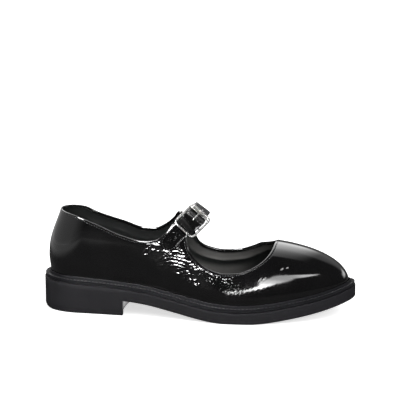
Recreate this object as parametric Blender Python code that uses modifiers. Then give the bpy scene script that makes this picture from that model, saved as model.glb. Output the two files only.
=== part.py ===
# A women's Mary Jane shoe for the right foot, at its real size.
# X runs from the heel to the toe, the outer side of the foot faces -Y, Z is up.
# The numbers below are millimetres. "Along" is measured from a line just behind the heel;
# the last step moves the origin to the middle of the sole's outline and turns the numbers into metres.

import functools
import math

import bmesh
import bpy
import numpy as np
from mathutils import Matrix, Vector

MM = 0.001

OBJECT_NAME = "mary_jane_shoe"
GAP = 0.3
SHARP_ANGLE = 35.0
MERGE_DISTANCE = 0.01

# edge of the last at the feather line, seen from above: middle line and half width
LAST_START = 6.8
LAST_END = 267.4
LAST_PLAN = [
    # along, middle, half_width
    (6.8, 0.0, 27.5),
    (36.0, 0.0, 28.0),
    (66.0, -1.0, 29.0),
    (95.0, -2.5, 29.5),
    (125.0, -4.5, 33.0),
    (160.0, -4.5, 40.5),
    (190.0, -1.5, 43.0),
    (220.0, 2.0, 42.0),
    (267.4, 4.5, 39.0),
]
HEEL_ROUND = 33.0
HEEL_ROUNDNESS = 2.2
TOE_ROUND = 88.0
TOE_ROUNDNESS = 2.3

# top edge of the outsole above the floor
SOLE_TOP = [
    # along, height
    (0.0, 27.0),
    (36.0, 25.4),
    (66.0, 23.8),
    (95.0, 21.2),
    (120.0, 17.0),
    (140.0, 13.2),
    (160.0, 10.6),
    (180.0, 9.6),
    (200.0, 10.8),
    (220.0, 13.5),
    (245.0, 18.1),
    (273.0, 25.2),
]
SOLE_THICKNESS = 10.2
SOLE_EDGE = 5.4
SOLE_SOFTENING = 0.8
SOLE_TOP_SOFTENING = 0.5

# heel block
HEEL_BREAST = 77.5
BREAST_HOLLOW = 4.0
BREAST_HALF_WIDTH = 34.0
HEEL_BEVEL_LENGTH = 14.0
HEEL_BEVEL_RISE = 3.6
SHANK_END = 166.0
SHANK_CUT_HALF_WIDTH = 60.0
SHANK_CUT_FLOOR = -6.0
SHANK_CUT_COLUMNS = 17
SHANK_CUT_ROWS = 12

# welt, measured inwards from the outsole edge and up from its top
WELT_INSET = 0.7
WELT_HEIGHT = 3.2
WELT_RIM = 3.3
WELT_SOFTENING = 0.45
BEAD_HEIGHT = 5.6
BEAD_GAP = 0.4
BEAD_TAPER = 0.15
BEAD_SOFTENING = 0.5
FLANGE_HEIGHT = 2.4
FLANGE_WIDTH = 4.3

# upper: its lower edge stands on the welt's flange
UPPER_WALL = 1.8
LAST_HEIGHT = [
    # along, height of the last above its feather line
    (6.8, 112.0),
    (60.0, 110.0),
    (97.0, 99.0),
    (125.0, 83.0),
    (145.0, 70.5),
    (170.0, 59.0),
    (200.0, 49.0),
    (222.0, 45.0),
    (267.4, 42.0),
]
TOE_BOX = 62.0
TOE_BOX_FRONT = 1.7
TOE_BOX_TOP = 0.56
SECTION_POWER = 2.2

# back curve of the heel: how far the wall leans forward at each height above the feather line
BACK_CURVE = [
    # height, lean
    (0.0, 0.0),
    (3.0, 0.0),
    (14.0, -1.5),
    (25.0, -0.8),
    (36.0, 2.0),
    (47.0, 6.2),
    (58.0, 10.5),
    (80.0, 19.0),
]
BACK_CURVE_REACH = 78.0

# top edge of the upper above the floor, from the heel along each side to the throat
OUTER_TOPLINE = [
    # along, height
    (6.8, 86.4),
    (25.0, 84.0),
    (52.0, 76.5),
    (76.0, 68.3),
    (96.0, 64.6),
    (107.0, 66.5),
    (115.0, 73.0),
    (122.0, 80.5),
    (127.0, 75.8),
    (132.0, 69.5),
    (134.5, 61.0),
    (140.0, 53.0),
    (152.0, 45.0),
    (166.0, 41.5),
    (178.0, 41.8),
    (189.0, 45.2),
]
INNER_TOPLINE = [
    # along, height
    (6.8, 86.4),
    (25.0, 82.8),
    (38.0, 77.6),
    (52.0, 73.6),
    (66.0, 70.0),
    (84.0, 65.0),
    (94.0, 64.8),
    (104.0, 69.0),
    (112.0, 75.5),
    (117.5, 81.5),
    (124.0, 79.0),
    (128.3, 71.5),
    (130.0, 60.5),
    (133.5, 53.5),
    (141.0, 49.0),
    (155.0, 46.0),
    (170.0, 47.4),
    (180.0, 50.8),
    (189.0, 55.2),
]

# front of the throat: the ribs whose feet stand from FAN_START to FAN_END lean back to its edge
THROAT_FRONT = 205.0
THROAT_ROUNDNESS = 0.25
FAN_START = 189.0
FAN_END = 214.0

# insole, measured like the welt
INSOLE_INSET = 2.3
INSOLE_THICKNESS = 2.5
INSOLE_SOFTENING = 0.5

# stations along the shoe where every piece has a row of points: start, end, how many steps
STATION_SPANS = [
    (42.0, 102.0, 6),
    (102.0, 141.0, 13),
    (141.0, 189.0, 6),
    (189.0, 214.0, 7),
]
HEEL_STEPS = 9
TOE_STEPS = 13
RIB_STEPS = 9

# instep strap: its middle line, from the outer side (turn below 0) over the ridge to the inner side
STRAP_LINE = [
    # turn from the ridge in degrees, along
    (-80.0, 104.1),
    (-66.0, 115.0),
    (-50.0, 126.4),
    (-35.0, 135.5),
    (-18.0, 140.0),
    (0.0, 141.5),
    (20.0, 139.0),
    (45.0, 128.0),
    (70.0, 112.0),
]
STRAP_WIDTH = 15.0
STRAP_THICKNESS = 1.2
STRAP_TIP = -31.0
STRAP_INNER_END = 66.0
STRAP_TIP_ROUND = 6.5
STRAP_TIP_BLUNTNESS = 0.12
STRAP_TIP_ANGLES = (0.0, 24.0, 42.0, 58.0, 74.0)
STRAP_SPANS = [
    # rows of points between the two rounded ends: start, end, how many steps
    (-24.5, -10.0, 4),
    (-10.0, -8.0, 1),
    (-8.0, 10.0, 14),
    (10.0, 12.5, 1),
    (12.5, 59.5, 15),
]
BAND_SOFTENING = 0.25
PATH_STEPS = 240
PATH_PROBE = 0.6
STRAP_LIFT = [
    # distance from the buckle's bar, free height under the strap
    (-40.0, 0.35),
    (-9.5, 0.35),
    (-5.0, 2.2),
    (-1.2, 4.4),
    (1.2, 4.4),
    (5.0, 2.0),
    (9.5, 0.35),
    (90.0, 0.35),
]
STRAP_HOLES = (-14.5, -21.5)
STRAP_HOLE_RADIUS = 0.9
STRAP_HOLE_SIDES = 12
PRONG_SLOT = (0.6, 5.8)
PRONG_SLOT_WIDTH = 2.0

# buckle, in its own plane: along the strap and across it
BUCKLE_TURN = -35.0
BUCKLE_LENGTH = 25.6
BUCKLE_WIDTH = 22.4
BUCKLE_SHIFT = 1.8
BUCKLE_WIRE = 0.95
BUCKLE_CORNER = 3.6
BUCKLE_CORNER_STEPS = 6
BUCKLE_PLANE = 2.3
REST_LENGTH = 3.0
REST_THICKNESS = 1.1
BAR_RADIUS = 0.7
ROUND_SIDES = 16
PRONG_RADIUS = 0.55
PRONG_RING = 1.35
PRONG_RING_WIRE = 0.42
PRONG_RING_SIDES = 20
PRONG_LINE = [
    # distance from the bar, height above the buckle's plane
    (1.2, 0.95),
    (3.0, 2.1),
    (6.0, 2.2),
]
PRONG_OVERHANG = 0.5
PRONG_DROP = 0.25

# tab that holds the buckle: sewn inside the outer quarter, looped round the bar
TAB_WIDTH = 10.5
TAB_THICKNESS = 0.7
TAB_LOOP_INNER = 0.92
TAB_LOOP_OUTER = 1.62
TAB_SLOT_WIDTH = 2.6
TAB_SLOT_LENGTH = 6.2
TAB_SPANS = [
    # rows of points: start, end, how many steps
    (-23.0, -12.0, 5),
    (-12.0, 0.6, 8),
]
TAB_LEVEL = [
    # distance from the buckle's bar, height of the tab's underside
    (-30.0, -3.3),
    (-12.0, -3.3),
    (-9.5, -3.0),
    (-1.0, 0.7),
    (5.0, 0.7),
]
CUTTER_REACH = 12.0

COLOURS = {
    "patent_leather": ((0.008, 0.008, 0.009), 0.12, 0.0),
    "outsole_rubber": ((0.016, 0.016, 0.018), 0.62, 0.0),
    "welt_rubber": ((0.012, 0.012, 0.013), 0.5, 0.0),
    "lining_leather": ((0.012, 0.013, 0.012), 0.5, 0.0),
    "buckle_steel": ((0.62, 0.62, 0.61), 0.18, 1.0),
}


def clear_scene():
    for item in list(bpy.data.objects):
        bpy.data.objects.remove(item, do_unlink=True)


def smooth(table, position, column=1):
    # cubic curve through a table's rows, which never overshoots them
    xs = np.array([row[0] for row in table])
    ys = np.array([row[column] for row in table])
    steps = np.diff(xs)
    slopes = np.diff(ys) / steps
    tangents = np.zeros(len(xs))
    tangents[0] = slopes[0]
    tangents[-1] = slopes[-1]
    for i in range(1, len(xs) - 1):
        if slopes[i - 1] * slopes[i] > 0.0:
            near = 2.0 * steps[i] + steps[i - 1]
            far = steps[i] + 2.0 * steps[i - 1]
            tangents[i] = (near + far) / (near / slopes[i - 1] + far / slopes[i])
    i = int(np.clip(np.searchsorted(xs, position) - 1, 0, len(steps) - 1))
    t = float(np.clip((position - xs[i]) / steps[i], 0.0, 1.0))
    return (
        ys[i] * (1.0 + 2.0 * t) * (1.0 - t) ** 2
        + tangents[i] * steps[i] * t * (1.0 - t) ** 2
        + ys[i + 1] * t * t * (3.0 - 2.0 * t)
        + tangents[i + 1] * steps[i] * t * t * (t - 1.0)
    )


def rounded_end(fraction, power):
    # 1 where a rounded end starts, 0 at its tip
    return math.sqrt(max(0.0, 1.0 - max(0.0, fraction) ** power))


def last_half_width(along):
    heel = (LAST_START + HEEL_ROUND - along) / HEEL_ROUND
    toe = (along - LAST_END + TOE_ROUND) / TOE_ROUND
    ends = rounded_end(heel, HEEL_ROUNDNESS) * rounded_end(toe, TOE_ROUNDNESS)
    return smooth(LAST_PLAN, along, 2) * ends


def sole_top(along):
    return smooth(SOLE_TOP, along)


def feather_height(along):
    return sole_top(along) + FLANGE_HEIGHT + GAP


def last_height(along):
    left = min(1.0, max(0.0, (LAST_END - along) / TOE_BOX))
    toe_box = (1.0 - (1.0 - left) ** TOE_BOX_FRONT) ** TOE_BOX_TOP
    return smooth(LAST_HEIGHT, along) * toe_box


def last_surface(along, turn):
    # turn runs from -90 degrees at the outer feather line over the ridge (0) to +90 at the inner one
    rise = last_height(along) * max(0.0, math.cos(turn)) ** (2.0 / SECTION_POWER)
    reach = max(0.0, 1.0 - (along - LAST_START) / BACK_CURVE_REACH)
    lean = smooth(BACK_CURVE, rise) * reach
    across = smooth(LAST_PLAN, along, 1) + last_half_width(along) * math.sin(turn)
    return np.array((along + lean, across, feather_height(along) + rise))


def last_normal(along, turn):
    step_along = 0.5
    step_turn = 0.01
    forward = last_surface(along + step_along, turn) - last_surface(along - step_along, turn)
    around = last_surface(along, turn + step_turn) - last_surface(along, turn - step_turn)
    normal = np.cross(forward, around)
    return normal / np.linalg.norm(normal)


def rib_top(foot):
    # where along the shoe the rib that starts at this foot ends
    if foot <= FAN_START:
        return foot
    if foot < FAN_END:
        left = (FAN_END - foot) / (FAN_END - FAN_START)
        return THROAT_FRONT - (THROAT_FRONT - FAN_START) * left ** (1.0 / THROAT_ROUNDNESS)
    return THROAT_FRONT + (LAST_END - THROAT_FRONT) * (foot - FAN_END) / (LAST_END - FAN_END)


def topline_turn(along, side):
    # how far round the last the upper reaches at this place along the shoe
    if along >= THROAT_FRONT:
        return 0.0
    if along > FAN_START:
        left = (THROAT_FRONT - along) / (THROAT_FRONT - FAN_START)
        return topline_turn(FAN_START, side) * left ** THROAT_ROUNDNESS
    table = OUTER_TOPLINE if side < 0 else INNER_TOPLINE
    share = (smooth(table, along) - feather_height(along)) / last_height(along)
    return math.acos(min(1.0, share) ** (SECTION_POWER / 2.0))


def spread(spans):
    # even steps through each span; the last span's end is left out
    places = []
    for start, end, count in spans:
        for i in range(count):
            places.append(start + (end - start) * i / count)
    return places


def make_stations():
    heel_end = STATION_SPANS[0][0]
    toe_start = STATION_SPANS[-1][1]
    stations = []
    for i in range(HEEL_STEPS):
        share = 1.0 - math.cos(0.5 * math.pi * i / HEEL_STEPS)
        stations.append(LAST_START + (heel_end - LAST_START) * share)
    stations += spread(STATION_SPANS)
    for i in range(TOE_STEPS + 1):
        stations.append(toe_start + (LAST_END - toe_start) * math.sin(0.5 * math.pi * i / TOE_STEPS))
    return stations


def plan_ring(offset, lift, base=sole_top):
    # a closed ring that follows the last's edge, moved outwards by offset and lifted above base
    stations = make_stations()
    outer = [(x, smooth(LAST_PLAN, x, 1) - last_half_width(x)) for x in stations]
    inner = [(x, smooth(LAST_PLAN, x, 1) + last_half_width(x)) for x in stations]
    loop = np.array(outer + inner[-2:0:-1])
    along_edge = np.roll(loop, -1, axis=0) - np.roll(loop, 1, axis=0)
    outwards = np.stack((along_edge[:, 1], -along_edge[:, 0]), axis=1)
    outwards /= np.linalg.norm(outwards, axis=1)[:, None]
    moved = loop + offset * outwards
    return [(x, y, base(x) + lift) for x, y in moved]


@functools.lru_cache(maxsize=None)
def sole_middle():
    edge = np.array(plan_ring(SOLE_EDGE, 0.0))
    return 0.5 * (edge.min(axis=0) + edge.max(axis=0))


def in_metres(point):
    # from the numbers of this file to Blender's metres round the origin
    middle = sole_middle()
    return Vector(((point[0] - middle[0]) * MM, (point[1] - middle[1]) * MM, point[2] * MM))


def mesh_object(name, vertices, faces, material, collection):
    mesh = bpy.data.meshes.new(name)
    mesh.from_pydata([in_metres(vertex) for vertex in vertices], [], faces)
    mesh.validate()
    work = bmesh.new()
    work.from_mesh(mesh)
    bmesh.ops.recalc_face_normals(work, faces=work.faces)
    work.to_mesh(mesh)
    work.free()
    mesh.shade_smooth()
    mesh.set_sharp_from_angle(angle=math.radians(SHARP_ANGLE))
    item = bpy.data.objects.new(name, mesh)
    collection.objects.link(item)
    if material is not None:
        mesh.materials.append(material)
    return item


def bridge(first, second, count, closed=True):
    # quads between two rows of points that start at these indices
    faces = []
    for i in range(count if closed else count - 1):
        j = (i + 1) % count
        faces.append((first + i, first + j, second + j, second + i))
    return faces


def cap_ring(start, count):
    # strips of faces from the outer to the inner side of a plan ring
    half = count // 2
    faces = [(start, start + 1, start + count - 1)]
    for i in range(1, half - 1):
        faces.append((start + i, start + i + 1, start + count - i - 1, start + count - i))
    faces.append((start + half - 1, start + half, start + half + 1))
    return faces


def stack_rings(name, rings, material, collection, closed_section=False):
    # joins plan rings from one to the next; a closed section makes a hoop, otherwise both ends are capped
    count = len(rings[0])
    vertices = [point for ring in rings for point in ring]
    faces = []
    for level in range(len(rings) - 1):
        faces += bridge(level * count, (level + 1) * count, count)
    if closed_section:
        faces += bridge((len(rings) - 1) * count, 0, count)
    else:
        faces += cap_ring(0, count)
        faces += cap_ring((len(rings) - 1) * count, count)
    return mesh_object(name, vertices, faces, material, collection)


def hide_cutter(item):
    item.hide_render = True
    item.display_type = "WIRE"


def cut(target, tool, operation="DIFFERENCE"):
    hide_cutter(tool)
    modifier = target.modifiers.new(operation.lower() + "_" + tool.name, "BOOLEAN")
    modifier.operation = operation
    modifier.object = tool
    modifier.solver = "EXACT"


def outsole_bottom(along):
    if along < HEEL_BEVEL_LENGTH:
        return HEEL_BEVEL_RISE * (1.0 - along / HEEL_BEVEL_LENGTH) ** 2
    if along < SHANK_END:
        return 0.0
    return max(0.0, sole_top(along) - SOLE_THICKNESS)


def make_shank_cutter(collection):
    # the space under the arch, with a hollow heel breast
    columns = np.linspace(-SHANK_CUT_HALF_WIDTH, SHANK_CUT_HALF_WIDTH, SHANK_CUT_COLUMNS)
    vertices = []
    for y in columns:
        hollow = BREAST_HOLLOW * max(0.0, 1.0 - (y / BREAST_HALF_WIDTH) ** 2)
        start = HEEL_BREAST - hollow
        vertices.append((start, y, SHANK_CUT_FLOOR))
        for x in np.linspace(start, SHANK_END, SHANK_CUT_ROWS):
            vertices.append((x, y, sole_top(x) - SOLE_THICKNESS))
        vertices.append((SHANK_END, y, SHANK_CUT_FLOOR))
    row = SHANK_CUT_ROWS + 2
    faces = []
    for i in range(len(columns) - 1):
        faces += bridge(i * row, (i + 1) * row, row)
    faces.append(tuple(range(row)))
    faces.append(tuple(range(len(vertices) - row, len(vertices))))
    return mesh_object("shank_space", vertices, faces, None, collection)


def make_outsole(material, collection, cutters):
    soft = SOLE_SOFTENING
    step = -FLANGE_WIDTH - GAP
    rings = [
        plan_ring(SOLE_EDGE - soft, 0.0, outsole_bottom),
        plan_ring(SOLE_EDGE, soft, outsole_bottom),
        plan_ring(SOLE_EDGE, -SOLE_TOP_SOFTENING),
        plan_ring(SOLE_EDGE - SOLE_TOP_SOFTENING, 0.0),
        plan_ring(step, 0.0),
        plan_ring(step - GAP, FLANGE_HEIGHT),
    ]
    outsole = stack_rings("outsole", rings, material, collection)
    cut(outsole, make_shank_cutter(cutters))
    return outsole


def make_welt(material, collection):
    edge = SOLE_EDGE - WELT_INSET
    bead = edge - WELT_RIM
    section = [
        # offset from the last's edge, height above the outsole's top
        (edge - WELT_SOFTENING, GAP),
        (edge, GAP + WELT_SOFTENING),
        (edge, WELT_HEIGHT - WELT_SOFTENING),
        (edge - WELT_SOFTENING, WELT_HEIGHT),
        (bead, WELT_HEIGHT),
        (bead - BEAD_TAPER, BEAD_HEIGHT - BEAD_SOFTENING),
        (bead - BEAD_SOFTENING, BEAD_HEIGHT),
        (BEAD_GAP, BEAD_HEIGHT - BEAD_SOFTENING),
        (BEAD_GAP, FLANGE_HEIGHT),
        (-FLANGE_WIDTH, FLANGE_HEIGHT),
        (-FLANGE_WIDTH, GAP),
    ]
    rings = [plan_ring(offset, lift) for offset, lift in section]
    return stack_rings("welt", rings, material, collection, closed_section=True)


def make_insole(material, collection):
    soft = INSOLE_SOFTENING
    low = FLANGE_HEIGHT + GAP
    high = low + INSOLE_THICKNESS
    rings = [
        plan_ring(-INSOLE_INSET - soft, low),
        plan_ring(-INSOLE_INSET, low + soft),
        plan_ring(-INSOLE_INSET, high - soft),
        plan_ring(-INSOLE_INSET - soft, high),
    ]
    return stack_rings("insole", rings, material, collection)


def make_upper(material, collection):
    # ribs run from the feather line up to the topline, and past the throat to the ridge
    feet = make_stations()
    vertices = []
    index = {}
    for k, foot in enumerate(feet):
        top = rib_top(foot)
        on_ridge = foot >= FAN_END
        for side in (-1, 1):
            top_turn = topline_turn(top, side)
            for j in range(RIB_STEPS + 1):
                share = j / RIB_STEPS
                along = foot + (top - foot) * share
                turn = side * (0.5 * math.pi + (top_turn - 0.5 * math.pi) * share)
                on_middle = k == 0 or (on_ridge and j == RIB_STEPS)
                if k == len(feet) - 1 and (side > 0 or j > 0):
                    index[k, side, j] = index[k, -1, 0]
                elif side > 0 and on_middle:
                    index[k, side, j] = index[k, -1, j]
                else:
                    index[k, side, j] = len(vertices)
                    vertices.append(last_surface(along, turn))
    faces = []
    for k in range(len(feet) - 1):
        for side in (-1, 1):
            for j in range(RIB_STEPS):
                corners = [index[k, side, j], index[k + 1, side, j]]
                corners += [index[k + 1, side, j + 1], index[k, side, j + 1]]
                corners = list(dict.fromkeys(corners))
                if side > 0:
                    corners.reverse()
                faces.append(tuple(corners))
    upper = mesh_object("upper", vertices, faces, material, collection)
    wall = upper.modifiers.new("wall", "SOLIDIFY")
    wall.thickness = UPPER_WALL * MM
    wall.offset = -1.0
    return upper


class StrapPath:
    # the strap's middle line on the last, measured in millimetres from the buckle's bar
    def __init__(self):
        turns = np.radians(np.linspace(STRAP_LINE[0][0], STRAP_LINE[-1][0], PATH_STEPS))
        spots = [(smooth(STRAP_LINE, math.degrees(turn)), turn) for turn in turns]
        points = np.array([last_surface(along, turn) for along, turn in spots])
        pieces = np.linalg.norm(np.diff(points, axis=0), axis=1)
        lengths = np.concatenate(([0.0], np.cumsum(pieces)))
        self.lengths = lengths - np.interp(math.radians(BUCKLE_TURN), turns, lengths)
        self.turns = turns

    def frame(self, distance):
        # point on the last, direction along the strap, direction across it, outward normal
        def spot(where):
            turn = float(np.interp(where, self.lengths, self.turns))
            return smooth(STRAP_LINE, math.degrees(turn)), turn

        point = last_surface(*spot(distance))
        forward = last_surface(*spot(distance + PATH_PROBE)) - last_surface(*spot(distance - PATH_PROBE))
        forward /= np.linalg.norm(forward)
        normal = last_normal(*spot(distance))
        across = np.cross(forward, normal)
        across /= np.linalg.norm(across)
        normal = np.cross(across, forward)
        return point, forward, across, normal


def make_band(name, path, distances, half_width, underside, thickness, material, collection):
    # a flat band along the strap's path; half_width and underside are functions of distance
    vertices = []
    for distance in distances:
        point, forward, across, normal = path.frame(distance)
        half = half_width(distance)
        base = underside(distance)
        soft = BAND_SOFTENING
        side = [(half - soft, 0.0), (half, soft), (half, thickness - soft), (half - soft, thickness)]
        section = [(-width, height) for width, height in side] + side[::-1]
        for width, height in section:
            vertices.append(point + across * width + normal * (base + height))
    row = 8
    faces = []
    for i in range(len(distances) - 1):
        faces += bridge(i * row, (i + 1) * row, row)
    faces.append(tuple(range(row)))
    faces.append(tuple(range(len(vertices) - row, len(vertices))))
    return mesh_object(name, vertices, faces, material, collection)


def placed(point, x_axis, y_axis, z_axis):
    matrix = Matrix.Identity(4)
    for column, axis in enumerate((x_axis, y_axis, z_axis)):
        for row in range(3):
            matrix[row][column] = axis[row]
    matrix.translation = in_metres(point)
    return matrix


def buckle_matrix(path):
    # the buckle's plane: x along the strap, y across it, z outwards, origin on the bar
    point, forward, across, normal = path.frame(0.0)
    return placed(point + normal * BUCKLE_PLANE, forward, across, normal)


def take_primitive(name, collection):
    # the primitive that was just added, moved to its own collection
    item = bpy.context.object
    item.name = name
    item.data.name = name
    for owner in list(item.users_collection):
        owner.objects.unlink(item)
    collection.objects.link(item)
    return item


def make_rod(name, radius, length, matrix, collection, sides=ROUND_SIDES):
    # a cylinder along the matrix's y axis
    bpy.ops.mesh.primitive_cylinder_add(vertices=sides, radius=radius * MM, depth=length * MM)
    rod = take_primitive(name, collection)
    rod.matrix_world = matrix @ Matrix.Rotation(math.radians(90.0), 4, "X")
    return rod


def make_box(name, length, width, height, matrix, collection):
    bpy.ops.mesh.primitive_cube_add(size=1.0)
    box = take_primitive(name, collection)
    for vertex in box.data.vertices:
        vertex.co = Vector((vertex.co.x * length, vertex.co.y * width, vertex.co.z * height)) * MM
    box.matrix_world = matrix
    return box


def make_wire(name, points, radius, matrix, collection, material, closed=False, resolution=2):
    # a round wire through points in the matrix's own millimetres, turned into a closed mesh
    curve = bpy.data.curves.new(name, "CURVE")
    curve.dimensions = "3D"
    curve.bevel_depth = radius * MM
    curve.bevel_resolution = resolution
    curve.use_fill_caps = not closed
    spline = curve.splines.new("POLY")
    spline.points.add(len(points) - 1)
    spline.use_cyclic_u = closed
    for place, point in zip(spline.points, points):
        place.co = (point[0] * MM, point[1] * MM, point[2] * MM, 1.0)
    guide = bpy.data.objects.new(name + "_line", curve)
    collection.objects.link(guide)
    bpy.context.view_layer.update()
    evaluated = guide.evaluated_get(bpy.context.evaluated_depsgraph_get())
    mesh = bpy.data.meshes.new_from_object(evaluated)
    mesh.name = name
    bpy.data.objects.remove(guide, do_unlink=True)
    work = bmesh.new()
    work.from_mesh(mesh)
    bmesh.ops.remove_doubles(work, verts=work.verts, dist=MERGE_DISTANCE * MM)
    bmesh.ops.recalc_face_normals(work, faces=work.faces)
    work.to_mesh(mesh)
    work.free()
    mesh.shade_smooth()
    mesh.set_sharp_from_angle(angle=math.radians(SHARP_ANGLE))
    item = bpy.data.objects.new(name, mesh)
    item.matrix_world = matrix
    collection.objects.link(item)
    mesh.materials.append(material)
    return item


def strap_half_width(distance):
    tip = (STRAP_TIP + STRAP_TIP_ROUND - distance) / STRAP_TIP_ROUND
    end = (distance - STRAP_INNER_END + STRAP_TIP_ROUND) / STRAP_TIP_ROUND
    ends = rounded_end(tip, 2.0) * rounded_end(end, 2.0)
    return 0.5 * STRAP_WIDTH * max(STRAP_TIP_BLUNTNESS, ends)


def make_strap(path, material, collection, cutters):
    rounding = [STRAP_TIP_ROUND * (1.0 - math.cos(math.radians(angle))) for angle in STRAP_TIP_ANGLES]
    distances = [STRAP_TIP + inset for inset in rounding]
    distances += spread(STRAP_SPANS)
    distances += [STRAP_INNER_END - STRAP_TIP_ROUND]
    distances += [STRAP_INNER_END - inset for inset in rounding[::-1]]
    strap = make_band(
        "instep_strap", path, distances, strap_half_width,
        lambda distance: smooth(STRAP_LIFT, distance), STRAP_THICKNESS, material, collection,
    )
    for number, distance in enumerate(STRAP_HOLES):
        point, forward, across, normal = path.frame(distance)
        place = placed(point, forward, normal, across)
        name = "strap_hole_%d" % (number + 1)
        cut(strap, make_rod(name, STRAP_HOLE_RADIUS, CUTTER_REACH, place, cutters, STRAP_HOLE_SIDES))
    slot_start, slot_end = PRONG_SLOT
    place = buckle_matrix(path) @ Matrix.Translation((0.5 * (slot_start + slot_end) * MM, 0.0, 0.0))
    slot = make_box("prong_slot", slot_end - slot_start, PRONG_SLOT_WIDTH, CUTTER_REACH, place, cutters)
    cut(strap, slot)
    return strap


def make_tab(path, material, collection, cutters):
    plane = buckle_matrix(path)
    distances = spread(TAB_SPANS) + [TAB_SPANS[-1][1]]
    tab = make_band(
        "buckle_tab", path, distances, lambda distance: 0.5 * TAB_WIDTH,
        lambda distance: smooth(TAB_LEVEL, distance), TAB_THICKNESS, material, collection,
    )
    cut(tab, make_rod("tab_loop", TAB_LOOP_OUTER, TAB_WIDTH, plane, cutters), "UNION")
    cut(tab, make_rod("tab_bore", TAB_LOOP_INNER, TAB_WIDTH + CUTTER_REACH, plane, cutters))
    cut(tab, make_box("tab_slot", TAB_SLOT_LENGTH, TAB_SLOT_WIDTH, CUTTER_REACH, plane, cutters))
    return tab


def make_buckle_frame(path, material, collection, cutters):
    half_length = 0.5 * BUCKLE_LENGTH - BUCKLE_WIRE
    half_width = 0.5 * BUCKLE_WIDTH - BUCKLE_WIRE
    points = []
    for quarter in range(4):
        middle_x = BUCKLE_SHIFT + (half_length - BUCKLE_CORNER) * (1 if quarter in (0, 3) else -1)
        middle_y = (half_width - BUCKLE_CORNER) * (1 if quarter in (0, 1) else -1)
        for step in range(BUCKLE_CORNER_STEPS):
            angle = 0.5 * math.pi * (quarter + step / (BUCKLE_CORNER_STEPS - 1))
            x = middle_x + BUCKLE_CORNER * math.cos(angle)
            y = middle_y + BUCKLE_CORNER * math.sin(angle)
            points.append((x, y, 0.0))
    plane = buckle_matrix(path)
    frame = make_wire("buckle_frame", points, BUCKLE_WIRE, plane, collection, material, True, 3)
    cut(frame, make_rod("buckle_bar", BAR_RADIUS, 2.0 * half_width, plane, cutters), "UNION")
    # the flat side that the prong's tip lies on
    place = plane @ Matrix.Translation(((BUCKLE_SHIFT + half_length - 0.5 * REST_LENGTH) * MM, 0.0, 0.0))
    cut(frame, make_box("prong_rest", REST_LENGTH, 2.0 * half_width, REST_THICKNESS, place, cutters), "UNION")
    return frame


def make_prong(path, material, collection, cutters):
    plane = buckle_matrix(path)
    rest = BUCKLE_WIRE + GAP + PRONG_RADIUS
    wire_place = BUCKLE_SHIFT + 0.5 * BUCKLE_LENGTH - BUCKLE_WIRE
    points = [(x, 0.0, z) for x, z in PRONG_LINE]
    points.append((wire_place, 0.0, rest))
    points.append((wire_place + BUCKLE_WIRE + PRONG_OVERHANG, 0.0, rest - PRONG_DROP))
    prong = make_wire("buckle_prong", points, PRONG_RADIUS, plane, collection, material)
    bpy.ops.mesh.primitive_torus_add(
        major_radius=PRONG_RING * MM, minor_radius=PRONG_RING_WIRE * MM,
        major_segments=PRONG_RING_SIDES, minor_segments=ROUND_SIDES // 2,
    )
    ring = take_primitive("prong_ring", cutters)
    ring.matrix_world = plane @ Matrix.Rotation(math.radians(90.0), 4, "X")
    cut(prong, ring, "UNION")
    return prong


def make_materials():
    materials = {}
    for name, (colour, roughness, metallic) in COLOURS.items():
        material = bpy.data.materials.new(name)
        material.use_nodes = True
        shader = material.node_tree.nodes["Principled BSDF"]
        shader.inputs["Base Color"].default_value = (*colour, 1.0)
        shader.inputs["Roughness"].default_value = roughness
        shader.inputs["Metallic"].default_value = metallic
        materials[name] = material
    return materials


def new_collection(name):
    collection = bpy.data.collections.new(name)
    bpy.context.scene.collection.children.link(collection)
    return collection


def build():
    clear_scene()
    shoe = new_collection(OBJECT_NAME)
    cutters = new_collection("cutters")
    materials = make_materials()
    path = StrapPath()
    make_outsole(materials["outsole_rubber"], shoe, cutters)
    make_welt(materials["welt_rubber"], shoe)
    make_insole(materials["lining_leather"], shoe)
    make_upper(materials["patent_leather"], shoe)
    make_strap(path, materials["patent_leather"], shoe, cutters)
    make_tab(path, materials["patent_leather"], shoe, cutters)
    make_buckle_frame(path, materials["buckle_steel"], shoe, cutters)
    make_prong(path, materials["buckle_steel"], shoe, cutters)


build()
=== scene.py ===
# A right-foot Mary Jane in crinkled black patent leather: surfaces, stitching, light and camera.
# Shapes are worked out in millimetres. "Along" runs from just behind the heel to the toe,
# the outer side of the foot is -Y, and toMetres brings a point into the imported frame.

import math

import bmesh
import bpy
import numpy as np
from mathutils import Matrix, Vector
from mathutils.kdtree import KDTree


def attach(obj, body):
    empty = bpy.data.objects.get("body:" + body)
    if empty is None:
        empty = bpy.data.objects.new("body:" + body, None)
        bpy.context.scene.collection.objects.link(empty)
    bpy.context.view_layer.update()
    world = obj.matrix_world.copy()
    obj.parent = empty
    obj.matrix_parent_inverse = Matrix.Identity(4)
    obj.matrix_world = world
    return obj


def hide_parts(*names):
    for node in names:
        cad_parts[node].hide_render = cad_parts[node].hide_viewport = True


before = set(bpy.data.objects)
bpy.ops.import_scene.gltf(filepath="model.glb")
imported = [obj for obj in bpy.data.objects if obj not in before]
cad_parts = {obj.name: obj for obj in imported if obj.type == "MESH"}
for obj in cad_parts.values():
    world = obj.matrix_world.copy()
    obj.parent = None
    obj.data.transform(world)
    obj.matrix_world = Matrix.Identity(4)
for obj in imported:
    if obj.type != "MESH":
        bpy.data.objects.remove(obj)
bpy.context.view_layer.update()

mm = 0.001
rightAngle = 0.5 * math.pi

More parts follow.
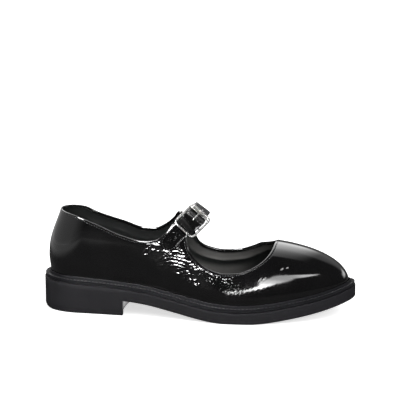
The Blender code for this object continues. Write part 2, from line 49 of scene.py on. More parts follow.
# the last, which every leather piece follows
last = {
    "start": 6.8,
    "end": 267.4,
    "plan": [  # along, middle, half width at the sole
        (6.8, 0.0, 27.5), (36.0, 0.0, 28.0), (66.0, -1.0, 29.0), (95.0, -2.5, 29.5), (125.0, -4.5, 33.0),
        (160.0, -4.5, 40.5), (190.0, -1.5, 43.0), (220.0, 2.0, 42.0), (267.4, 4.5, 39.0),
    ],
    "height": [  # along, height above the feather line
        (6.8, 112.0), (60.0, 110.0), (97.0, 99.0), (125.0, 83.0), (145.0, 70.5),
        (170.0, 59.0), (200.0, 49.0), (222.0, 45.0), (267.4, 42.0),
    ],
    "backCurve": [  # height above the feather line, how far the back of the heel leans forward
        (0.0, 0.0), (3.0, 0.0), (14.0, -1.5), (25.0, -0.8),
        (36.0, 2.0), (47.0, 6.2), (58.0, 10.5), (80.0, 19.0),
    ],
    "backReach": 78.0,  # the lean has died out this far in front of the heel
    "heelRound": 33.0,  # the plan rounds off over this length at the heel
    "heelPower": 2.2,  # more makes a squarer heel
    "toeRound": 88.0,
    "toePower": 2.3,
    "toeBox": 62.0,  # the toe drops over this length
    "toeBoxFront": 1.7,
    "toeBoxTop": 0.56,
    "sectionPower": 2.2,  # more makes a boxier cross-section
    "evenSpacing": 0.42,  # how evenly the stations of the sole's rings are spread
    "endSpacing": 0.58,  # and how much they crowd at both ends
}

topline = {
    "outer": [  # along, height above the floor
        (6.8, 86.4), (25.0, 84.0), (52.0, 76.5), (76.0, 68.3), (96.0, 64.6), (107.0, 66.5), (115.0, 73.0),
        (122.0, 80.5), (127.0, 75.8), (132.0, 69.5), (134.5, 61.0), (140.0, 53.0), (152.0, 45.0),
        (166.0, 41.5), (178.0, 41.8), (189.0, 45.2),
    ],
    "inner": [
        (6.8, 86.4), (25.0, 82.8), (38.0, 77.6), (52.0, 73.6), (66.0, 70.0), (84.0, 65.0), (94.0, 64.8),
        (104.0, 69.0), (112.0, 75.5), (117.5, 81.5), (124.0, 79.0), (128.3, 71.5), (130.0, 60.5),
        (133.5, 53.5), (141.0, 49.0), (155.0, 46.0), (170.0, 47.4), (180.0, 50.8), (189.0, 55.2),
    ],
    "throatFront": 205.0,
    "throatRoundness": 0.25,
    "fanStart": 189.0,  # ribs that start between these two fan out round the throat
    "fanEnd": 214.0,
}

sole = {
    "top": [  # along, top edge of the outsole above the floor
        (0.0, 27.0), (36.0, 25.4), (66.0, 23.8), (95.0, 21.2), (120.0, 17.0), (140.0, 13.2), (160.0, 10.6),
        (180.0, 9.6), (200.0, 10.8), (220.0, 13.5), (245.0, 18.1), (273.0, 25.2),
    ],
    "thickness": 10.2,
    "edge": 5.4,  # how far it stands out past the last
    "softening": 0.9,  # radius of the edge it walks on
    "lip": [(-0.18, -0.18), (-0.6, 0.0), (-0.9, -0.25), (-1.5, -0.25)],  # top edge: reach, lift
    "breast": 77.5,  # front of the heel block
    "breastHollow": 4.0,
    "breastHalfWidth": 34.0,
    "breastReach": 11.0,
    "breastSlope": 0.12,
    "bevelLength": 14.0,
    "bevelRise": 3.6,
    "treadDepth": 0.7,
    "treadPitch": 5.2,
    "treadWidth": 1.1,
    "treadSlant": 0.22,
    "treadMargin": 0.80,
    "heelTread": (16.0, 9.0),  # starts here, and ends this far behind the breast
    "foreTread": (142.0, 256.0),
    "stations": 430,
    "columns": 46,
}


def smoothCurve(rows, places, column=1):
    # cubic curve through a table's rows, which never overshoots them
    xs = np.array([row[0] for row in rows])
    ys = np.array([row[column] for row in rows])
    steps = np.diff(xs)
    slopes = np.diff(ys) / steps
    tangents = np.zeros(len(xs))
    tangents[0] = slopes[0]
    tangents[-1] = slopes[-1]
    for i in range(1, len(xs) - 1):
        if slopes[i - 1] * slopes[i] > 0.0:
            near = 2.0 * steps[i] + steps[i - 1]
            far = steps[i] + 2.0 * steps[i - 1]
            tangents[i] = (near + far) / (near / slopes[i - 1] + far / slopes[i])
    places = np.asarray(places, float)
    i = np.clip(np.searchsorted(xs, places) - 1, 0, len(steps) - 1)
    t = np.clip((places - xs[i]) / steps[i], 0.0, 1.0)
    return (
        ys[i] * (1.0 + 2.0 * t) * (1.0 - t) ** 2
        + tangents[i] * steps[i] * t * (1.0 - t) ** 2
        + ys[i + 1] * t * t * (3.0 - 2.0 * t)
        + tangents[i + 1] * steps[i] * t * t * (t - 1.0)
    )


def fairCurve(rows, column=1, reach=5.0):
    # the same curve with its small kinks faired out, as a function of place
    low, high = rows[0][0], rows[-1][0]
    places = np.arange(low - 30.0, high + 30.5, 0.5)
    values = smoothCurve(rows, places, column)
    ends = smoothCurve(rows, [low, low + 1.0, high - 1.0, high], column)
    values = np.where(places < low, ends[0] + (ends[1] - ends[0]) * (places - low), values)
    values = np.where(places > high, ends[3] + (ends[3] - ends[2]) * (places - high), values)
    kernel = np.exp(-0.5 * (np.arange(-3.0 * reach, 3.0 * reach + 0.5, 0.5) / reach) ** 2)
    padded = np.pad(values, len(kernel) // 2, mode="edge")
    faired = np.convolve(padded, kernel / kernel.sum(), mode="valid")
    return lambda where: np.interp(where, places, faired)


planMiddle = fairCurve(last["plan"], 1)
planHalf = fairCurve(last["plan"], 2)
crownHeight = fairCurve(last["height"])
backLean = fairCurve(last["backCurve"], 1, 3.0)
soleTop = fairCurve(sole["top"], 1, 4.0)

welt = {
    "gap": 0.3,
    "inset": 0.7,  # how far it stays inside the outsole's edge
    "height": 3.2,
    "rim": 3.3,
    "line": (1.35, 1.6, 1.85),  # a fine line round the edge: its foot, middle and top
    "lineDepth": 0.28,
    "channel": (0.75, 1.0, 2.0, 2.25),  # walls of the stitch channel, from the edge
    "channelDepth": 0.22,
    "beadHeight": 5.6,
    "beadGap": 0.4,
    "flangeHeight": 2.4,
    "flangeWidth": 4.3,
    "cornerRadius": 0.55,
    "cornerSteps": 4,
    "markPitch": 1.65,  # faint wheel marks along the bead
    "markDepth": 0.056,
    "stitch": (2.5, 3.3, 0.62, 0.3),  # length, pitch, width, how deep its ends sink
    "stations": 560,
}


def roundedEnd(fraction, power):
    # 1 where a rounded end starts, 0 at its tip
    return np.sqrt(np.maximum(0.0, 1.0 - np.maximum(0.0, fraction) ** power))


def lastHalfWidth(along):
    heel = (last["start"] + last["heelRound"] - along) / last["heelRound"]
    toe = (along - last["end"] + last["toeRound"]) / last["toeRound"]
    return planHalf(along) * roundedEnd(heel, last["heelPower"]) * roundedEnd(toe, last["toePower"])


def featherHeight(along):
    return soleTop(along) + welt["flangeHeight"] + welt["gap"]


def lastHeight(along):
    left = np.clip((last["end"] - along) / last["toeBox"], 0.0, 1.0)
    return crownHeight(along) * (1.0 - (1.0 - left) ** last["toeBoxFront"]) ** last["toeBoxTop"]


def lastSurface(along, turn):
    # turn runs from -90 degrees at the outer feather line over the ridge (0) to +90 at the inner one
    along, turn = np.broadcast_arrays(np.asarray(along, float), np.asarray(turn, float))
    rise = lastHeight(along) * np.maximum(0.0, np.cos(turn)) ** (2.0 / last["sectionPower"])
    reach = np.maximum(0.0, 1.0 - (along - last["start"]) / last["backReach"])
    across = planMiddle(along) + lastHalfWidth(along) * np.sin(turn)
    return np.stack((along + backLean(rise) * reach, across, featherHeight(along) + rise), axis=-1)


def unit(vectors):
    return vectors / np.maximum(np.linalg.norm(vectors, axis=-1, keepdims=True), 1e-12)


def lengthsAlong(points):
    # how far each point is from the first, measured along the line
    return np.concatenate(([0.0], np.cumsum(np.linalg.norm(np.diff(points, axis=0), axis=1))))


def lastNormal(along, turn):
    forward = lastSurface(along + 0.4, turn) - lastSurface(along - 0.4, turn)
    around = lastSurface(along, turn + 0.01) - lastSurface(along, turn - 0.01)
    return unit(np.cross(forward, around))


def toplineTurn(along, side):
    # how far round the last the upper reaches at this place along the shoe
    rows = topline["outer"] if side < 0 else topline["inner"]
    behind = np.minimum(along, topline["fanStart"])
    share = (smoothCurve(rows, behind) - featherHeight(behind)) / lastHeight(behind)
    turn = np.arccos(np.clip(share, 0.0, 1.0) ** (0.5 * last["sectionPower"]))
    left = (topline["throatFront"] - along) / (topline["throatFront"] - topline["fanStart"])
    left = np.clip(left, 0.0, 1.0)
    return np.where(along > topline["fanStart"], turn * left ** topline["throatRoundness"], turn)


def ribTop(foot):
    # where along the shoe the rib that starts at this foot ends
    start, end, front = topline["fanStart"], topline["fanEnd"], topline["throatFront"]
    left = np.clip((end - foot) / (end - start), 0.0, 1.0)
    fan = front - (front - start) * left ** (1.0 / topline["throatRoundness"])
    vamp = front + (last["end"] - front) * (foot - end) / (last["end"] - end)
    return np.where(foot <= start, foot, np.where(foot < end, fan, vamp))


def planRing(stations, offset, base=soleTop, lift=0.0):
    # a closed ring along the edge of the last: outer side to the toe, inner side back to the heel
    half = lastHalfWidth(stations)
    outer = np.stack((stations, planMiddle(stations) - half), axis=1)
    inner = np.stack((stations, planMiddle(stations) + half), axis=1)
    loop = np.concatenate((outer, inner[-2:0:-1]))
    edge = np.roll(loop, -1, axis=0) - np.roll(loop, 1, axis=0)
    moved = loop + offset * unit(np.stack((edge[:, 1], -edge[:, 0]), axis=1))
    return np.column_stack((moved, base(moved[:, 0]) + lift))


def endedStations(count):
    # places along the last, closer together towards its two round ends
    t = np.linspace(0.0, 1.0, count)
    eased = 0.5 - 0.5 * np.cos(math.pi * t)
    spread = last["evenSpacing"] * t + last["endSpacing"] * eased
    return last["start"] + (last["end"] - last["start"]) * spread


soleEdge = planRing(endedStations(600), sole["edge"])
soleMiddle = 0.5 * (soleEdge[:, :2].min(axis=0) + soleEdge[:, :2].max(axis=0))


def toMetres(points):
    points = np.asarray(points, float)
    return (points - np.array((soleMiddle[0], soleMiddle[1], 0.0))) * mm


def addToScene(thing):
    bpy.context.scene.collection.objects.link(thing)
    return thing


def makeMesh(name, points, faces, *finishes, sharpAngle=None):
    mesh = bpy.data.meshes.new(name)
    mesh.from_pydata(toMetres(points).tolist(), [], [list(map(int, face)) for face in faces])
    for finish in finishes:
        mesh.materials.append(materials[finish])
    work = bmesh.new()
    work.from_mesh(mesh)
    bmesh.ops.remove_doubles(work, verts=work.verts, dist=0.00001)
    bmesh.ops.recalc_face_normals(work, faces=work.faces)
    work.to_mesh(mesh)
    work.free()
    mesh.shade_smooth()
    if sharpAngle:
        mesh.set_sharp_from_angle(angle=math.radians(sharpAngle))
    return addToScene(bpy.data.objects.new(name, mesh))


def addLayer(mesh, label, values):
    # a number at each point, for the material to read
    mesh.attributes.new(label, "FLOAT", "POINT").data.foreach_set("value", values)


def searchTree(points):
    tree = KDTree(len(points))
    for number, point in enumerate(points):
        tree.insert(point, number)
    tree.balance()
    return tree


def paintPoints(piece, label, points, values):
    # gives every point of the mesh the value of the nearest of these points
    tree = searchTree(toMetres(points))
    addLayer(piece.data, label, [values[tree.find(vertex.co)[1]] for vertex in piece.data.vertices])


def gridFaces(rows, columns, first=0, wrapRows=False, wrapColumns=False):
    # quads of a grid whose point numbers run along its columns first
    i = np.arange(rows if wrapRows else rows - 1)[:, None]
    j = np.arange(columns if wrapColumns else columns - 1)[None, :]
    here = i * columns
    ahead = (i + 1) % rows * columns
    jNext = (j + 1) % columns
    quads = np.stack((here + j, here + jNext, ahead + jNext, ahead + j), axis=-1)
    return (quads.reshape(-1, 4) + first).tolist()


def tubeFaces(rings, sides, first=0):
    # the skin of a tube made of rings of points, with a cap at each end
    end = first + (rings - 1) * sides
    caps = [list(range(first, first + sides)), list(range(end, end + sides))]
    return gridFaces(rings, sides, first, wrapColumns=True) + caps


def finishPiece(piece, slot, *nodes):
    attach(piece, "root")
    if nodes:
        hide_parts(*nodes)
    return piece


class Noise:
    # smooth random field over a plane, the same on every run
    def __init__(self, seed, size=64):
        self.table = np.random.RandomState(seed).uniform(-1.0, 1.0, (size, size))
        self.size = size

    def __call__(self, x, y):
        xi = np.floor(x).astype(int)
        yi = np.floor(y).astype(int)
        fx = x - xi
        fy = y - yi
        fx = fx * fx * fx * (fx * (fx * 6.0 - 15.0) + 10.0)
        fy = fy * fy * fy * (fy * (fy * 6.0 - 15.0) + 10.0)
        a = self.table[xi % self.size, yi % self.size]
        b = self.table[(xi + 1) % self.size, yi % self.size]
        c = self.table[xi % self.size, (yi + 1) % self.size]
        d = self.table[(xi + 1) % self.size, (yi + 1) % self.size]
        return (a * (1 - fx) + b * fx) * (1 - fy) + (c * (1 - fx) + d * fx) * fy


def bell(value, middle, reach, power=2):
    return np.exp(-((value - middle) / reach) ** power)


def blobs(rows, x, y):
    # soft spots: place, place, reach, reach, strength
    total = np.zeros_like(x)
    for px, py, rx, ry, strength in rows:
        total = np.maximum(total, strength * np.exp(-((x - px) / rx) ** 2 - ((y - py) / ry) ** 2))
    return total


stitchForm = {
    "bends": 6,
    "sides": 6,
    "taper": 0.82,  # how much thinner a stitch gets towards its ends
    "rise": 0.34,  # how far its middle line stands up, as a share of its width
    "flatness": 0.8,
}


def stitchMesh(name, routes, stitch, finish):
    # thread stitches along routes of points and normals: each dives in and out of the leather
    length, pitch, width, sink = stitch
    bends, sides = stitchForm["bends"], stitchForm["sides"]
    share = np.linspace(-1.0, 1.0, bends + 1)
    arch = 1.0 - share ** 4
    radius = 0.5 * width * np.sqrt(np.clip(1.0 - stitchForm["taper"] * np.abs(share) ** 3, 0, 1))
    rise = stitchForm["rise"] * width
    angles = np.linspace(0.0, 2.0 * math.pi, sides, endpoint=False)
    points = []
    faces = []
    for route, normals in routes:
        lengths = lengthsAlong(route)
        for number in range(int((lengths[-1] - 0.5 * pitch) // pitch)):
            places = (number + 0.6) * pitch + length * 0.5 * share
            centre = np.stack([np.interp(places, lengths, line) for line in route.T], axis=1)
            normal = unit(np.stack([np.interp(places, lengths, line) for line in normals.T], axis=1))
            centre = centre + normal * (arch * (rise + sink) - sink)[:, None]
            forward = unit(np.gradient(centre, axis=0))
            across = unit(np.cross(forward, normal))
            up = np.cross(across, forward) * stitchForm["flatness"]
            faces += tubeFaces(bends + 1, sides, len(points))
            for k in range(bends + 1):
                ring = across[k] * np.cos(angles)[:, None] + up[k] * np.sin(angles)[:, None]
                points.extend(centre[k] + ring * radius[k])
    return makeMesh(name, np.array(points), faces, finish)


def nodeMaterial(name):
    material = bpy.data.materials.new(name)
    material.use_nodes = True
    tree = material.node_tree
    place = tree.nodes.new("ShaderNodeTexCoord")
    return material, tree, tree.nodes["Principled BSDF"], place.outputs["Object"]


def addNode(tree, kind, **values):
    # values name the node's own settings or, with _ for a space, its sockets
    node = tree.nodes.new(kind)
    for name, value in values.items():
        if hasattr(node, name):
            setattr(node, name, value)
        else:
            node.inputs[name.replace("_", " ")].default_value = value
    return node


def connect(tree, shader, **sources):
    for name, source in sources.items():
        tree.links.new(source, shader.inputs[name.replace("_", " ")])


def attribute(tree, label):
    return addNode(tree, "ShaderNodeAttribute", attribute_name=label).outputs["Fac"]


def stretched(tree, vector, scale):
    mapping = addNode(tree, "ShaderNodeMapping", Scale=scale)
    tree.links.new(vector, mapping.inputs["Vector"])
    return mapping.outputs["Vector"]


def noiseField(tree, vector, size, detail=3.0, roughness=0.5, distortion=0.0):
    noise = addNode(tree, "ShaderNodeTexNoise", Scale=size, Detail=detail, Roughness=roughness)
    noise.inputs["Distortion"].default_value = distortion
    tree.links.new(vector, noise.inputs["Vector"])
    return noise.outputs["Fac"]


def cellField(tree, vector, size, **values):
    cells = addNode(tree, "ShaderNodeTexVoronoi", Scale=size, **values)
    tree.links.new(vector, cells.inputs["Vector"])
    return cells.outputs["Distance"]


def ramp(tree, value, low, high, lowValue=0.0, highValue=1.0):
    node = addNode(tree, "ShaderNodeMapRange",
                   From_Min=low, From_Max=high, To_Min=lowValue, To_Max=highValue)
    tree.links.new(value, node.inputs["Value"])
    return node.outputs["Result"]


def multiply(tree, first, second):
    node = addNode(tree, "ShaderNodeMath", operation="MULTIPLY")
    tree.links.new(first, node.inputs[0])
    if isinstance(second, float):
        node.inputs[1].default_value = second
    else:
        tree.links.new(second, node.inputs[1])
    return node.outputs["Value"]


def bump(tree, height, distance, strength=1.0, before=None):
    node = addNode(tree, "ShaderNodeBump", Distance=distance)
    if isinstance(strength, float):
        node.inputs["Strength"].default_value = strength
    else:
        tree.links.new(strength, node.inputs["Strength"])
    tree.links.new(height, node.inputs["Height"])
    if before is not None:
        tree.links.new(before, node.inputs["Normal"])
    return node.outputs["Normal"]


def mixColours(tree, factor, first, second):
    node = addNode(tree, "ShaderNodeMix", data_type="RGBA")
    tree.links.new(factor, node.inputs["Factor"])
    for socket, colour in (("A", first), ("B", second)):
        if isinstance(colour, tuple):
            node.inputs[socket].default_value = (*colour, 1.0)
        else:
            tree.links.new(colour, node.inputs[socket])
    return node.outputs["Result"]


# in every finish, sizes are cells in a metre and depths are in metres
patent = {
    "colour": (0.0028, 0.0028, 0.0030),
    "wearAndPaintedSheen": (0.0052, 0.0051, 0.0053),
    "cloudSize": 60.0,
    "roughness": (0.06, 0.12),
    "coat": 0.6,
    "coatRoughness": 0.02,
    "slant": (0.62, 1.0, 1.25),  # stretches the crinkles along the shoe
    "crinkleSize": 900.0,
    "crinkleDepth": 0.00016,
    "crinkleSoftness": 0.35,
    "foldSize": 675.0,
    "waveSize": 260.0,
    "waveDepth": 0.00022,
    "pebbleSize": 520.0,
    "pebbleDepth": 0.00017,
    "pebbleReach": 0.36,  # share of a cell that its dome covers
    "poreSize": 5200.0,
    "poreDepth": 0.000012,
    "poreStrength": 0.14,
}


def patentLeather():
    # glossy film over crumpled leather; the mesh says how crumpled it is at each point
    material, tree, shader, place = nodeMaterial("crinkledPatentLeather")
    amount = attribute(tree, "crinkle")
    slant = stretched(tree, place, patent["slant"])
    softness = patent["crinkleSoftness"]
    cells = cellField(tree, slant, patent["crinkleSize"], feature="SMOOTH_F1", Smoothness=softness)
    folds = noiseField(tree, slant, patent["foldSize"], 2.0, 0.45, 0.7)
    waves = noiseField(tree, place, patent["waveSize"], 2.0, 0.45, 0.3)
    pores = noiseField(tree, place, patent["poreSize"], 1.0)
    domes = ramp(tree, cellField(tree, place, patent["pebbleSize"]), patent["pebbleReach"], 0.0)
    normal = bump(tree, waves, patent["waveDepth"], ramp(tree, amount, 0.0, 1.0, 0.03, 0.9))
    normal = bump(tree, folds, patent["crinkleDepth"], ramp(tree, amount, 0.02, 1.0), normal)
    normal = bump(tree, cells, patent["crinkleDepth"], ramp(tree, amount, 0.05, 1.0), normal)
    normal = bump(tree, domes, patent["pebbleDepth"], attribute(tree, "pebbles"), normal)
    normal = bump(tree, pores, patent["poreDepth"], patent["poreStrength"], normal)
    cloud = noiseField(tree, place, patent["cloudSize"])
    colour = mixColours(tree, cloud, patent["colour"], patent["wearAndPaintedSheen"])
    roughness = ramp(tree, cloud, 0.3, 0.75, *patent["roughness"])
    connect(tree, shader, Base_Color=colour, Roughness=roughness, Normal=normal, Coat_Normal=normal)
    shader.inputs["Coat Weight"].default_value = patent["coat"]
    shader.inputs["Coat Roughness"].default_value = patent["coatRoughness"]
    return material


lining = {
    "colour": (0.0070, 0.0082, 0.0080),
    "light": (0.0118, 0.0136, 0.0131),
    "paintedSheen": (0.225, 0.221, 0.213),  # painted sheen: a pale colour painted where the satin lining would catch the light
    "roughness": (0.38, 0.5),
    "gloss": 0.16,
    "grainSize": 1500.0,
    "grainDepth": 0.00006,
    "cloudSize": 45.0,
    "cloudDepth": 0.0009,
    "streakSize": 240.0,
    "streakStretch": (0.25, 1.0, 1.0),
}


def liningLeather():
    # smooth satin leather with a fine grain; where the mesh asks, a pale colour is mixed in as painted
    # sheen
    material, tree, shader, place = nodeMaterial("liningLeather")
    grain = cellField(tree, place, lining["grainSize"], feature="DISTANCE_TO_EDGE")
    cloud = noiseField(tree, place, lining["cloudSize"], 4.0)
    normal = bump(tree, ramp(tree, grain, 0.0, 0.18), lining["grainDepth"], 0.55)
    normal = bump(tree, cloud, lining["cloudDepth"], 0.35, normal)
    streaks = noiseField(tree, stretched(tree, place, lining["streakStretch"]), lining["streakSize"])
    # painted sheen: how much pale colour stands in for light here, broken up by streaks
    wearAndPaintedSheen = multiply(tree, attribute(tree, "wearAndPaintedSheen"), ramp(tree, streaks, 0.2, 0.8, 0.7, 1.0))
    colour = mixColours(tree, cloud, lining["colour"], lining["light"])
    colour = mixColours(tree, wearAndPaintedSheen, colour, lining["paintedSheen"])
    roughness = ramp(tree, cloud, 0.3, 0.7, *lining["roughness"])
    connect(tree, shader, Base_Color=colour, Roughness=roughness, Normal=normal)
    shader.inputs["Specular IOR Level"].default_value = lining["gloss"]
    return material


rubber = {
    "colour": (0.0088, 0.0085, 0.0100),
    "light": (0.0150, 0.0146, 0.0168),
    "roughness": (0.50, 0.64),
    "gloss": 0.10,
    "grainSize": 1900.0,
    "grainDepth": 0.00007,
    "cloudSize": 38.0,
    "faceLight": (0.030, 0.029, 0.032),
    "faceRoughness": (0.16, 0.26),
    "faceGloss": 0.8,
    "faceSize": 120.0,
    "faceDepth": 0.00003,
    "weltColour": (0.007, 0.007, 0.008),
    "weltLight": (0.013, 0.013, 0.015),
    "weltRoughness": (0.30, 0.44),
    "weltGloss": 0.06,
    "weltGrainSize": 2400.0,
    "weltGrainDepth": 0.00004,
    "weltCloudSize": 90.0,
}


def outsoleRubber():
    # matte moulded rubber with a fine matte grain and faint dust in it
    material, tree, shader, place = nodeMaterial("outsoleRubber")
    cloud = noiseField(tree, place, rubber["cloudSize"], 5.0)
    grain = noiseField(tree, place, rubber["grainSize"], 3.0, 0.6)
    colour = mixColours(tree, cloud, rubber["colour"], rubber["light"])
    roughness = ramp(tree, grain, 0.3, 0.7, *rubber["roughness"])
    normal = bump(tree, grain, rubber["grainDepth"], 0.8)
    connect(tree, shader, Base_Color=colour, Roughness=roughness, Normal=normal)
    shader.inputs["Specular IOR Level"].default_value = rubber["gloss"]
    return material


def heelFaceRubber():
    # the front of the heel block, moulded smooth, so it mirrors the pale floor
    material, tree, shader, place = nodeMaterial("heelFaceRubber")
    cloud = noiseField(tree, place, rubber["faceSize"])
    colour = mixColours(tree, cloud, rubber["light"], rubber["faceLight"])
    roughness = ramp(tree, cloud, 0.3, 0.7, *rubber["faceRoughness"])
    normal = bump(tree, cloud, rubber["faceDepth"], 0.4)
    connect(tree, shader, Base_Color=colour, Roughness=roughness, Normal=normal)
    shader.inputs["Specular IOR Level"].default_value = rubber["faceGloss"]
    return material


def weltRubber():
    # the same rubber, rolled smoother and a little glossier
    material, tree, shader, place = nodeMaterial("weltRubber")
    cloud = noiseField(tree, place, rubber["weltCloudSize"], 4.0)
    grain = noiseField(tree, place, rubber["weltGrainSize"], 2.0)
    colour = mixColours(tree, cloud, rubber["weltColour"], rubber["weltLight"])
    roughness = ramp(tree, cloud, 0.3, 0.7, *rubber["weltRoughness"])
    normal = bump(tree, grain, rubber["weltGrainDepth"], 0.6)
    connect(tree, shader, Base_Color=colour, Roughness=roughness, Normal=normal)
    shader.inputs["Specular IOR Level"].default_value = rubber["weltGloss"]
    return material


thread = {
    "strandSize": 900.0,
    "strandWander": 2.0,
    "strandDepth": 0.00006,
    "strandShade": 0.45,
    "upper": ((0.035, 0.035, 0.038), 0.38),  # colour, roughness
    "welt": ((0.030, 0.030, 0.033), 0.5),
}


def waxedThread(name, colour, roughness):
    # twisted thread: fine slanting strands along each stitch
    material, tree, shader, place = nodeMaterial(name)
    strands = addNode(tree, "ShaderNodeTexWave", wave_type="BANDS", bands_direction="DIAGONAL",
                      Scale=thread["strandSize"], Distortion=thread["strandWander"])
    tree.links.new(place, strands.inputs["Vector"])
    fibre = strands.outputs["Fac"]
    darker = tuple(thread["strandShade"] * part for part in colour)
    shade = mixColours(tree, fibre, darker, colour)
    sheen = ramp(tree, fibre, 0.0, 1.0, roughness - 0.1, roughness + 0.1)
    normal = bump(tree, fibre, thread["strandDepth"], 0.7)
    connect(tree, shader, Base_Color=shade, Roughness=sheen, Normal=normal)
    return material


steel = {
    "colour": (0.86, 0.85, 0.84),
    "dull": (0.66, 0.65, 0.64),
    "roughness": (0.22, 0.34),
    "hairSize": 900.0,
    "hairStretch": (1.0, 9.0, 9.0),
    "cloudSize": 320.0,
    "cloudDepth": 0.00002,
}


def polishedSteel():
    # plated wire with hairline scratches and slightly duller hollows
    material, tree, shader, place = nodeMaterial("buckleSteel")
    hairs = noiseField(tree, stretched(tree, place, steel["hairStretch"]), steel["hairSize"], 4.0)
    cloud = noiseField(tree, place, steel["cloudSize"])
    colour = mixColours(tree, cloud, steel["dull"], steel["colour"])
    roughness = ramp(tree, hairs, 0.3, 0.7, *steel["roughness"])
    normal = bump(tree, cloud, steel["cloudDepth"], 0.3)
    connect(tree, shader, Base_Color=colour, Roughness=roughness, Normal=normal)
    shader.inputs["Metallic"].default_value = 1.0
    return material


materials = {
    "patent": patentLeather(),
    "lining": liningLeather(),
    "rubber": outsoleRubber(),
    "heelFace": heelFaceRubber(),
    "welt": weltRubber(),
    "thread": waxedThread("blackThread", *thread["upper"]),
    "weltThread": waxedThread("weltThread", *thread["welt"]),
    "steel": polishedSteel(),
}
print("materials ready")


# the upper is one wall of patent leather with a turned edge, and its lining
upper = {
    "wall": 1.8,
    "ribs": 450,  # ribs run up from the sole, rows round the shoe
    "ribDensity": [
        (6.8, 1.0), (45.0, 0.7), (86.0, 0.8), (98.0, 2.9), (146.0, 2.9), (156.0, 2.0),
        (205.0, 1.8), (222.0, 0.9), (267.4, 1.4),
    ],
    "heelRibs": 20.0,  # length that the round ribs of the heel take up
    "toeRibs": 250.0,  # those of the toe start here
    "outerRows": 128,
    "innerRows": 56,
    "rowPower": 1.12,  # rows crowd towards the top edge
    "edgeRadius": 0.8,
    "edgeSteps": 7,
    "turnedWidth": 1.6,  # how far the turned edge goes down inside
    "rollCentre": 0.85,  # the turned edge is a soft roll above its stitches
    "rollHeight": 0.16,
    "heelFirmness": (55.0, 60.0, 0.25),  # the roll is flatter behind here: place, change, least share
    "seamDistance": 1.9,
    "seamWidth": 0.5,
    "seamDepth": 0.16,
    "stitch": (1.75, 2.35, 0.46, 0.25),  # length, pitch, width, how deep its ends sink
    "slackFolds": (0.10, 17.0, 12.0),  # height, spacing along and up
    "wrinkles": (0.045, 2.6, 1.9),
    "calmTop": (1.0, 3.5),  # creases start this far below the top edge, and grow over this distance
    "calmFoot": (4.0, 0.25),  # they weaken below this height above the feather line: height, least share
    "tuckDepth": 1.15,  # the wall draws in above the welt at the waist
    "tuckHeight": 4.2,
    "tuck": [(60.0, 0.0), (82.0, 0.8), (110.0, 1.0), (136.0, 0.75), (160.0, 0.18), (176.0, 0.0)],
    "seeds": {"outer": 11, "inner": 23, "folds": 5},
}

# where the leather is crumpled: along, height, reach, reach, strength
crinkleSpots = {
    "outer": [
        (104.0, 61.0, 9.0, 5.0, 0.7), (99.0, 56.0, 7.0, 6.0, 0.55), (117.0, 54.0, 9.0, 8.0, 0.75),
        (128.0, 55.0, 8.0, 8.0, 0.8), (130.0, 46.0, 9.0, 8.0, 0.8), (137.0, 40.0, 8.0, 8.0, 0.8),
        (143.0, 32.0, 5.0, 5.0, 0.8), (146.0, 43.0, 8.0, 6.0, 0.8), (155.0, 38.0, 10.0, 7.0, 0.65),
        (163.0, 37.0, 9.0, 7.0, 0.22),
        (212.0, 46.0, 4.0, 3.0, 0.2), (112.0, 46.0, 7.0, 6.0, 0.35), (66.0, 47.0, 6.0, 6.0, 0.14),
    ],
    "inner": [
        (106.0, 60.0, 9.0, 7.0, 0.7), (118.0, 52.0, 12.0, 10.0, 0.85), (128.0, 43.0, 10.0, 9.0, 0.8),
        (138.0, 36.0, 9.0, 7.0, 0.6), (160.0, 38.0, 16.0, 9.0, 0.5), (182.0, 36.0, 14.0, 9.0, 0.4),
    ],
}

# where it is only pebbled with fine grains
pebbleSpots = {
    "outer": [
        (99.0, 57.0, 7.0, 5.0, 1.0), (108.0, 48.0, 6.0, 6.0, 0.6), (158.0, 38.0, 9.0, 7.0, 1.0),
        (169.0, 35.0, 10.0, 7.0, 1.0), (177.0, 32.0, 7.0, 5.0, 0.7), (153.0, 33.0, 6.0, 5.0, 0.5),
        (197.0, 38.0, 4.0, 3.0, 0.4), (215.0, 45.0, 6.0, 5.0, 0.3),
    ],
    "inner": [(150.0, 38.0, 14.0, 8.0, 0.8), (176.0, 34.0, 12.0, 6.0, 0.8)],
}

